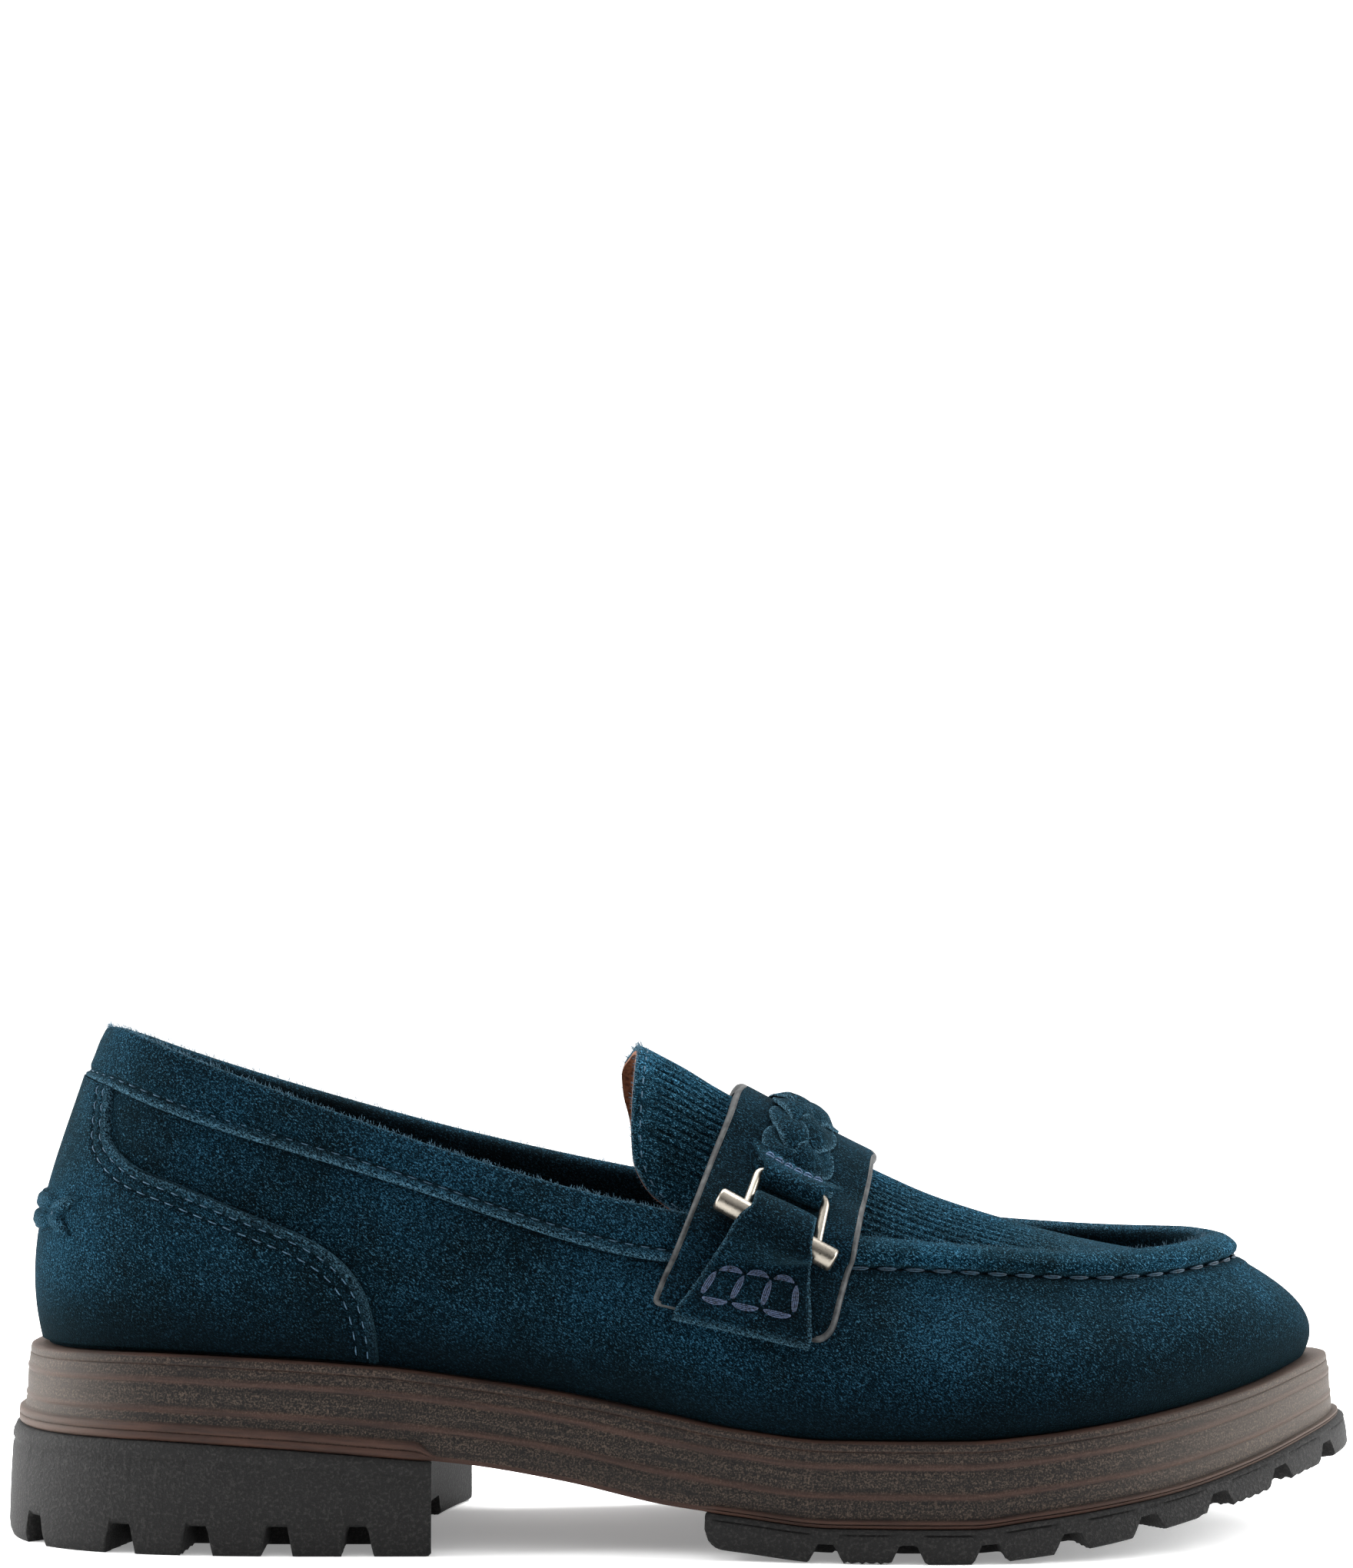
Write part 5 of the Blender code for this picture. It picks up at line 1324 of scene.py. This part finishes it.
# Tabs. On each side a wedge of suede, wide at the strap's end, goes up over the bar and back under it, its
# cut edges frayed. A ladder of heavy waxed thread, three cells wide, sews it through the strap to the wall.
TAB_FOOT = 26.5
TAB_HEAD = 12.6
TAB_FLARE = table("rise wide", [
    (0.00, 0.0),
    (0.20, 0.4),
    (0.37, 1.0),
    (0.53, 2.2),
    (0.70, 2.8),
    (0.85, 2.8),
    (1.00, 1.2),
])
TAB_FRONT = 1.7
TAB_TOE = table("run lift", [
    (-1.6, 1.3),
    (-0.7, 2.2),
    (0.5, 2.5),
    (2.5, ON_STRAP - 0.1),
    (5.0, ON_STRAP - 0.1),
    (10.5, ON_STRAP - 0.1),
])
TAB_W = (0.49, 0.55)
TAB_HALF = 11.0
TAB_SLACK = 0.25
TAB_THICK = 1.3
TAB_THIN = 0.45
TAB_HIGHLIGHT_AND_FRAY = 0.45
TAB_FRAY = table("high often start", [
    (0.25, 37.0, 0.0),
    (0.2, 17.3, 1.0),
])
TAB_FRAY_WIDE = 0.02
LADDER_RUNGS = (-0.78, -0.28, 0.22, 0.72)
LADDER_RUN = (3.0, 9.0)
LADDER_STRANDS = (-1.0, -0.35, 0.35, 1.0)
LADDER_APART = 0.1
LADDER_LIFT = 0.2
LADDER_SPREAD = 0.45
HOLE_WIDE = 0.65
LADDER_RADIUS = 0.12
LADDER_SHORT = 0.5
LADDER_BOW = 0.5


def tab_place(run, share, lift, side):
    """Point over the tab: run up from the strap's end, share of the tab's half width. The rear half swells
    below the bar so that its edge is straight over the tilt, and the front half is wider at the foot."""
    rise = np.clip(run / BAR_D, 0, 1)
    d = from_end(run, side)
    half = (TAB_FOOT + (TAB_HEAD - TAB_FOOT) * rise) / 2
    flare = through(rise, TAB_FLARE["rise"], TAB_FLARE["wide"])
    half = half + np.where(share < 0, flare, TAB_FRONT * (1 - rise))
    w = TAB_W[0] + (TAB_W[1] - TAB_W[0]) * rise + share * half / strap_width(np.clip(d, 0, strap_length))
    return on_strap(tilted(d, w), w, lift)


def threads(name, starts, ends, normals, radius, look, arch=0.5, spread=0.0, rings=8, sides=8):
    """Stitches as one mesh: each an arched thread of round section from start to end, thin and sunk at its
    ends, its middle spread sideways by a length."""
    t = np.linspace(0, 1, rings)[None, :, None]
    along = unit(ends - starts)
    beside = unit(np.cross(along, normals))[:, None, :]
    over = np.cross(beside[:, 0], along)[:, None, :]
    hump = np.sin(math.pi * t) ** 0.6
    line = starts[:, None, :] * (1 - t) + ends[:, None, :] * t + over * arch * (hump - 1)
    line = line + beside * hump * np.broadcast_to(spread, len(starts))[:, None, None]
    turn = (np.arange(sides) * 2 * math.pi / sides)[None, None, :, None]
    thick = radius * (0.45 + 0.55 * np.sin(math.pi * t) ** 0.4)[..., None]
    grid = line[:, :, None, :] + thick * (beside[:, None] * np.cos(turn) + over[:, None] * np.sin(turn))
    n, r, c = np.meshgrid(np.arange(len(starts)), np.arange(rings - 1), np.arange(sides), indexing="ij")
    corner = (n * rings + r) * sides
    after = (c + 1) % sides
    quads = np.stack([corner + c, corner + after, corner + sides + after, corner + sides + c], -1)
    first = (np.arange(len(starts)) * rings * sides)[:, None]
    faces = [quads.reshape(-1, 4)]
    for i in range(sides // 2 - 1):
        lid = np.array([i, i + 1, sides - 2 - i, sides - 1 - i])
        faces += [first + lid[::-1], first + (rings - 1) * sides + lid]
    return piece_of(name, grid.reshape(-1, 3), np.concatenate(faces), look)


def thread_look(name, pale, dark):
    """Twisted thread: pale strands over dark gaps."""
    made, tree, place = blank_look(name, {"Roughness": 0.6, "Specular IOR Level": 0.3})
    twist = noise(tree, place, 2600.0, 2.0, 0.6)
    colour = mix(tree, ramp(tree, twist, [(0.36, 0.0), (0.58, 1.0)]), dark, pale)
    return wired(made, {"Base Color": colour, "Normal": bump(tree, twist, 0.15, 0.6)})


heavy_thread = thread_look("heavy_navy_thread", srgb(60, 75, 102), srgb(6, 9, 17))
tab_suede = suede_look("tab_suede_nap", tone=0.57)
tab_turn = np.radians(np.linspace(150, -40, 10))
tab_reach = BAR_RADIUS + TAB_SLACK
tab_knots = np.stack([np.concatenate([TAB_TOE["run"], BAR_D + tab_reach * np.cos(tab_turn)]),
                      np.concatenate([TAB_TOE["lift"], BAR_LIFT + tab_reach * np.sin(tab_turn)])], 1)
tab_way = spline(np.linspace(0, 1, 90) * run_of(tab_knots)[-1], run_of(tab_knots), tab_knots)
tab_out = unit(np.gradient(tab_way, axis=0)[:, ::-1] * np.array([-1, 1]))
tab_share = eased(45)
tab_thin = TAB_THIN * (1 - smooth((1 - np.abs(tab_share)) * 9.0))[None, :]
frayed = sum(high * np.sin(often * tab_way[:, 0] + start) for high, often, start in zip(*TAB_FRAY.values()))
frayed_share = tab_share[None, :] * (1 + frayed[:, None] * TAB_FRAY_WIDE)
# Pale frayed fibre along the tab's cut sides, and a painted highlight along its foot.
tab_highlight_and_fray = TAB_HIGHLIGHT_AND_FRAY * np.maximum((1 - smooth((1 - np.abs(tab_share)) * 12.0))[None, :],
                                    1 - smooth((tab_way[:, :1] - TAB_TOE["run"][0]) / 1.2))
for side, label in SIDES:
    tab_layers = []
    for up in (TAB_THICK, 0.0):
        way = tab_way + tab_out * up
        lift = way[:, 1][:, None] - tab_thin * (up > 0)
        tab_layers.append(tab_place(way[:, 0][:, None] + 0 * frayed_share, frayed_share, lift, side))
    holes = np.array([tab_place(np.array(run), np.array(rung), ON_STRAP + TAB_THICK, side)
                      for run in LADDER_RUN for rung in LADDER_RUNGS])
    hole_shade = bell(nearest(tab_layers[0], holes), HOLE_WIDE)
    strap_tab = slab("tab_" + label, tab_layers[0], tab_layers[1], tab_suede,
                     fields={"highlight_and_fray": tab_highlight_and_fray, "shade": hole_shade})
    fit(strap_tab, "strap_tab_suede", "strap_tab_" + label)
    lines = [((LADDER_RUN[0], rung), (LADDER_RUN[1], rung)) for rung in LADDER_RUNGS]
    lines += [((run, a), (run, b)) for run in LADDER_RUN for a, b in zip(LADDER_RUNGS, LADDER_RUNGS[1:])]
    ladder = np.array(lines)
    run_from, run_to = ladder[:, 0], ladder[:, 1]
    flat = np.array([1.0, 1.0 / TAB_HALF])
    beside = unit((run_to - run_from) / flat)[:, ::-1] * np.array([1.0, -1.0]) * flat
    starts, ends = [], []
    for strand in LADDER_STRANDS:
        for place, group in ((run_from, starts), (run_to, ends)):
            spot = place + beside * strand * LADDER_APART
            group.append(tab_place(spot[:, 0], spot[:, 1], ON_STRAP + TAB_THICK + LADDER_LIFT, side))
    starts, ends = np.concatenate(starts), np.concatenate(ends)
    short = unit(ends - starts) * LADDER_SHORT
    starts, ends = starts + short, ends - short
    middle_d = np.full(len(starts), from_end(sum(LADDER_RUN) / 2, side))
    middle = strap_up(middle_d, np.full(len(starts), 0.5))[0]
    bowed = np.repeat([0.0, -LADDER_BOW, LADDER_BOW], [len(LADDER_RUNGS)] + [len(LADDER_RUNGS) - 1] * 2)
    spread = (np.repeat(np.array(LADDER_STRANDS) * LADDER_SPREAD, len(lines))
              + np.tile(bowed, len(LADDER_STRANDS))) * side
    ladder_piece = threads("ladder_stitches_" + label, starts, ends, middle, LADDER_RADIUS, heavy_thread,
                           arch=0.35, spread=spread)
    fit(ladder_piece, "strap_tab_suede", "strap_tab_" + label)

# Braid. Three flat strips of suede plaited over the crown of the strap. At each end they are sewn into a
# folded strip that goes round the toggle's link.
BRAID_HALF = table("past_fold half", [
    (-4.0, 6.9),
    (0.0, 7.0),
    (3.0, 8.9),
    (6.0, 10.4),
    (11.0, 9.4),
    (19.0, 8.4),
    (30.0, 8.0),
])
BRAID_W = (0.53, 0.45)
FOLD_TAIL = 6.4
FOLD_DROP = 1.9
FOLD_STITCH = 3.6
FOLD_THIN = 0.4
PLAIT_START = 3.0
PLAIT_PITCH = 22.0
PLAIT_SWAY = 0.5
PLAIT_LIFT = 1.0
STRIP_WIDE = 7.6
STRIP_THICK = 1.15
STRIP_DOME = 0.45
STRIP_WORN = 0.9
STRIP_LEAST = 0.4
FLAT_EDGES = 0.45
FLAT_FRONT = 0.4
STRANDS = 3
PLAIT_STRAIGHT = 0.93


def braid_place(d, across, lift):
    """Point over the braid: distance along the strap and distance across from the braid's middle."""
    to_crown = np.clip((np.minimum(d, strap_length - d) - FOLD_D) / (strap_length / 2 - FOLD_D), 0, 1)
    w = BRAID_W[0] + (BRAID_W[1] - BRAID_W[0]) * to_crown + across / strap_width(d)
    return on_strap(tilted(d, w), w, lift)


def braid_half(d):
    """Half the width of the braid along the strap."""
    past = np.minimum(d, strap_length - d) - FOLD_D
    return through(past, BRAID_HALF["past_fold"], BRAID_HALF["half"])


def fold_top(past, radius):
    """Height over the strap of the fold's upper layer, which drops from the link to the strips."""
    return FOLD_LIFT + radius - FOLD_DROP * smooth(past / FOLD_TAIL)


fold_turn = np.radians(np.linspace(270, 90, 24))
fold_share = eased(33)
for side, label in SIDES:
    fold_layers = []
    for radius in (FOLD_RADIUS + BRAID_THICK, FOLD_RADIUS):
        tail = np.linspace(FOLD_D, FOLD_D + FOLD_TAIL, 26)[1:]
        run = np.concatenate([tail[11::-1], FOLD_D + radius * np.cos(fold_turn), tail])
        lift = np.concatenate([np.full(12, FOLD_LIFT - radius), FOLD_LIFT + radius * np.sin(fold_turn),
                               fold_top(tail - FOLD_D, radius)])
        across = braid_half(run)[:, None] * fold_share[None, :]
        thin = FOLD_THIN * (radius > FOLD_RADIUS) * np.abs(fold_share[None, :]) ** 8
        d = from_end(run, side)[:, None] + 0 * across
        fold_layers.append(braid_place(d, across, lift[:, None] - thin))
    fold_piece = slab("braid_fold_" + label, fold_layers[0], fold_layers[1], suede)
    fit(fold_piece, "braid_suede", "braid")

# A darker copy of the suede for the plaited strips: painted shade over their top-lit faces.
shaded_plait_suede = suede_look("shaded_plait_nap", tone=0.72)
strip_d = np.linspace(FOLD_D + PLAIT_START, strap_length - FOLD_D - PLAIT_START, 220)
strip_a = eased(21)[None, :] * STRIP_WIDE / 2
for strand in range(STRANDS):
    phase = 2 * math.pi * ((strip_d - strap_length / 2) / PLAIT_PITCH + strand / STRANDS)
    zigzag = np.arcsin(PLAIT_STRAIGHT * np.sin(phase)) / math.asin(PLAIT_STRAIGHT)
    sway = braid_half(strip_d) * PLAIT_SWAY * zigzag
    lean = np.gradient(sway, strip_d)
    side_d, side_y = -lean / np.hypot(1, lean), 1 / np.hypot(1, lean)
    d = strip_d[:, None] + side_d[:, None] * strip_a
    across = sway[:, None] + side_y[:, None] * strip_a
    emerged = smooth((np.minimum(strip_d, strap_length - strip_d) - FOLD_D - FOLD_TAIL + 1.0) / 4.0)
    centre = ON_STRAP + STRIP_THICK / 2 + PLAIT_LIFT * (0.4 + emerged * (0.6 + np.sin(2 * phase)))
    dome = STRIP_DOME * (2 * strip_a / STRIP_WIDE) ** 2
    outer = across / braid_half(strip_d)[:, None]
    flattened = 1 - FLAT_EDGES * smooth((np.abs(outer) - 0.5) / 0.5) - FLAT_FRONT * smooth(outer / 1.1)
    over, under = (ON_STRAP + flattened * (centre[:, None] + half - ON_STRAP)
                   for half in (STRIP_THICK / 2, -STRIP_THICK / 2))
    strip_worn = STRIP_WORN * np.abs(2 * strip_a / STRIP_WIDE) ** 9 + 0 * d
    strip = slab("braid_strip_%d" % (strand + 1),
                 braid_place(d, across, np.maximum(over - dome, ON_STRAP + STRIP_LEAST)),
                 braid_place(d, across, np.maximum(under - 0.3 * dome, ON_STRAP)),
                 shaded_plait_suede, {"highlight_and_fray": strip_worn})
    fit(strip, "braid_suede", "braid")

# Stitches. Machine stitches in pale blue thread hold the collar's fold, the counter's edge in two rows and
# the tongue's lining. Chain stitches close the braid's folds, crossed threads hold the heel tab, and a
# doubled cord sews the moccasin rim by hand.
MACHINE = {"pitch": 3.3, "long": 2.1, "radius": 0.14}
HAND = {"pitch": RIM_STITCH, "long": 4.0, "radius": 0.18}
HAND_STRANDS = (-0.22, 0.22)
CHAIN = {"pitch": 2.2, "long": 2.1, "radius": 0.22}
CHAIN_STRANDS = (-0.45, 0.45)
TONGUE_STITCH_IN = 1.8


def at_run(distance, run, values):
    """Points or vectors along a line, at distances run along it."""
    return np.stack([np.interp(distance, run, values[:, axis]) for axis in range(3)], -1)


def stitch_row(name, path, normals, kind, look, strands=(0.0,)):
    """Stitches spaced evenly along a path, each of one or more strands that lie beside each other."""
    run = run_of(path)
    begin = np.arange(0.5, run[-1] - kind["long"], kind["pitch"])
    begin, strand = np.tile(begin, len(strands)), np.repeat(strands, len(begin))
    starts, ends = at_run(begin, run, path), at_run(begin + kind["long"], run, path)
    normals = unit(at_run(begin, run, normals))
    return threads(name, starts, ends, normals, kind["radius"], look, spread=strand)


pale_thread = thread_look("pale_blue_thread", srgb(54, 85, 106), srgb(25, 46, 60))
blue_thread = thread_look("blue_chain_thread", srgb(66, 94, 126), srgb(16, 28, 46))
teal_cord = thread_look("teal_hand_cord", srgb(27, 55, 72), srgb(6, 18, 26))
fold_lean = both("lean", binding_s) * fold_high / band_high(binding_s)
collar_path = seam(binding_s) + outward(binding_s) * (0.35 - fold_lean)[:, None] + fold_high[:, None] * UP
fit(stitch_row("collar_stitches", collar_path, outward(binding_s), MACHINE, pale_thread),
    "binding_suede", "collar_binding")

for number, row in enumerate(STITCH_ROWS):
    half_columns = counter_u.shape[1] // 2
    for flip in (1, -1):
        reach = to_edge[:, ::flip][:, :half_columns]
        column = np.maximum(np.argmax(reach >= row, axis=1), 1)
        pick = np.arange(len(reach))
        part = (row - reach[pick, column - 1]) / (reach[pick, column] - reach[pick, column - 1])
        place_s, place_v = (values[:, ::flip][pick, column - 1] * (1 - part)
                            + values[:, ::flip][pick, column] * part for values in (counter_s, counter_v))
        line_label = "outer" if flip > 0 else "inner"
        fit(stitch_row("counter_stitches_%s_%d" % (line_label, number + 1),
                       wall_off(place_s, place_v, np.array(OVERLAY)), wall_normal(place_s, place_v),
                       MACHINE, pale_thread), "overlay_suede", "heel_counter")

around = np.linspace(-0.97, 0.97, 400)
stitch_x = tongue_end(around) + TONGUE_STITCH_IN
tongue_path = tongue(stitch_x, around)
tongue_normal = unit(np.cross(tongue(stitch_x + 0.1, around) - tongue_path,
                              tongue(stitch_x, around + 0.01) - tongue_path))
fit(stitch_row("tongue_stitches", tongue_path + tongue_normal * 0.1, tongue_normal, MACHINE, pale_thread),
    "tongue_suede", "tongue")

rim_path = seam(rim_s) + outward(rim_s) * 0.35 + UP * 0.3
fit(stitch_row("rim_hand_stitches", rim_path, outward(rim_s), HAND, teal_cord, HAND_STRANDS),
    "teal_suede", "upper")

for side, label in SIDES:
    row_across = np.linspace(-0.85, 0.85, 40) * float(braid_half(np.array(FOLD_D + FOLD_STITCH)))
    row_d = np.full(40, from_end(FOLD_D + FOLD_STITCH, side))
    row_path = braid_place(row_d, row_across, fold_top(FOLD_STITCH, FOLD_RADIUS + BRAID_THICK) + 0.3)
    fit(stitch_row("braid_fold_stitches_" + label, row_path, strap_up(row_d, np.full(40, 0.5))[0], CHAIN,
                   blue_thread, CHAIN_STRANDS), "braid_suede", "braid")

for number, across in enumerate((-HEEL_TAB["cinch"], HEEL_TAB["cinch"])):
    column = int(np.argmin(np.abs(loop_u[0] - across)))
    ends = np.stack([loop_base[row, column] + (loop_lift[row, column] + 0.4) * loop_out[row, column]
                     for row in (1, -2)])
    apart = 0.7 * unit(np.cross(loop_out[15, column], ends[1] - ends[0]))
    starts = np.stack([ends[0] + apart * step for step in (-1, 0, 1)])
    stops = np.stack([ends[1] + apart * step for step in (1, 0, -1)])
    normals = np.repeat(loop_out[15:16, column], 3, axis=0)
    fit(threads("heel_tab_stitches_%d" % (number + 1), starts, stops, normals, MACHINE["radius"] * 1.3,
                pale_thread), "heel_tab_suede", "heel_tab")

# Loose fibres. The nap stands off in single fibres where the suede is bent or cut: along the top of the
# collar, the crest of the moccasin rim and the end of the tongue. They grow out of the leather.
FIBRE_PER_MM = 6.0
FIBRE_LONG = (0.3, 1.0)
FIBRE_LEAN = 0.55
FIBRE_RADIUS = 0.045
FIBRE_SPREAD = 0.25
FIBRE_ROOT = 0.3
FIBRE_SEED = 5


def fibres(name, path, normals, look):
    """Fibres along a path, each at a random place, leaning at random from the normal and bent a little."""
    run, random = run_of(path), np.random.default_rng(FIBRE_SEED)
    count = int(run[-1] * FIBRE_PER_MM)
    place = random.uniform(0, run[-1], count)
    root, out = at_run(place, run, path), at_run(place, run, normals)
    root = root + random.normal(0, FIBRE_SPREAD, (count, 3))
    lean = unit(out + FIBRE_LEAN * random.normal(0, 1, (count, 3)))
    tips = root + lean * random.uniform(*FIBRE_LONG, (count, 1))
    bend = random.normal(0, 1, (count, 3))
    root = root - FIBRE_ROOT * unit(out)
    return threads(name, root, tips, bend, FIBRE_RADIUS, look, arch=0.1, rings=3, sides=4)


fibre_look = thread_look("loose_suede_fibre", srgb(70, 104, 122), srgb(28, 52, 66))
top_column = int(np.argmin(np.abs(binding_t - BINDING_TOP)))
fit(fibres("collar_fibres", binding_grid[:, top_column], unit(outward(binding_s) * 0.6 + UP), fibre_look),
    "binding_suede", "collar_binding")
fit(fibres("rim_fibres", rim_grid[:, RIM_CREST - 1], unit(outward(rim_s) * 0.3 + UP), fibre_look),
    "teal_suede", "upper")
end_path = tongue(tongue_end(around), around)
fit(fibres("tongue_fibres", end_path, unit(tongue_normal - np.array([1.0, 0.0, 0.0])), fibre_look),
    "tongue_suede", "tongue")

# Studio. A white paper floor in a pale room that darkens on the camera's side, soft lamps left, right and
# above, and the camera level with the middle of the picture, looking at the outer side of the shoe.
FLOOR = (6.0, 5.0)
CAMERA_AT = (-0.001, -0.930, 0.156)
LENS = 101.5
SENSOR = 36.0
ROOM_STRENGTH = 1.5
LAMPS = {"left_light": ((-0.80, 0.0, 0.28), (-0.10, 0.0, 0.05), (0.5, 0.6), 13.0),
         "right_light": ((0.80, 0.0, 0.28), (0.10, 0.0, 0.05), (0.5, 0.6), 12.0),
         "top_light": ((0.0, 0.30, 0.85), (0.0, 0.0, 0.05), (0.9, 0.5), 16.0)}


def floor_look():
    """Clean white paper with the faintest mottle."""
    made, tree, place = blank_look("white_paper", {
        "Roughness": 0.9, "Specular IOR Level": 0.1, "Emission Color": (1.0, 1.0, 1.0, 1.0),
        "Emission Strength": 0.25})
    mottle = noise(tree, place, 60.0, 2.0, 0.5)
    return wired(made, {"Base Color": mix(tree, mottle, (0.93, 0.93, 0.93, 1.0), (0.96, 0.96, 0.96, 1.0))})


def lamp(name, place, target, size, power):
    """Rectangular soft light at a place, turned to a target."""
    data = bpy.data.lights.new(name, "AREA")
    data.shape = "RECTANGLE"
    data.size, data.size_y = size
    data.energy = power
    light = bpy.data.objects.new(name, data)
    light.location = place
    aim = np.array(target) - np.array(place)
    tilt, turn = math.acos(-aim[2] / np.linalg.norm(aim)), math.atan2(aim[0], -aim[1]) + math.pi
    light.rotation_euler = (tilt, 0.0, turn)
    bpy.context.scene.collection.objects.link(light)


floor_mesh = bpy.data.meshes.new("floor")
wide, deep = FLOOR[0] / 2, FLOOR[1] / 2
floor_corners = [(-wide, -deep, 0), (wide, -deep, 0), (wide, deep, 0), (-wide, deep, 0)]
floor_mesh.from_pydata(floor_corners, [], [(0, 1, 2, 3)])
floor_mesh.materials.append(floor_look())
floor = bpy.data.objects.new("floor", floor_mesh)
bpy.context.scene.collection.objects.link(floor)

world = bpy.data.worlds.new("studio")
world.use_nodes = True
room = world.node_tree
way = node(room, "SeparateXYZ", {"Vector": node(room, "TexCoord", {}).outputs["Generated"]}).outputs
depth = sums(room, "MULTIPLY_ADD", way["Y"], 0.5)
white = mix(room, 1.0, ramp(room, depth, [(0.0, 0.05), (0.3, 0.08), (0.5, 0.45), (0.65, 1.0)]),
            ramp(room, way["Z"], [(0.3, 0.0), (0.9, 1.0)]), blend="LIGHTEN")
room.links.new(white, room.nodes["Background"].inputs["Color"])
room.nodes["Background"].inputs["Strength"].default_value = ROOM_STRENGTH
bpy.context.scene.world = world
for lamp_name, settings in LAMPS.items():
    lamp(lamp_name, *settings)

camera_data = bpy.data.cameras.new("camera")
camera_data.lens = LENS
camera_data.sensor_width = SENSOR
camera = bpy.data.objects.new("camera", camera_data)
camera.location = CAMERA_AT
camera.rotation_euler = (math.pi / 2, 0.0, 0.0)
bpy.context.scene.collection.objects.link(camera)
bpy.context.scene.camera = camera
bpy.context.scene.view_settings.view_transform = "Standard"
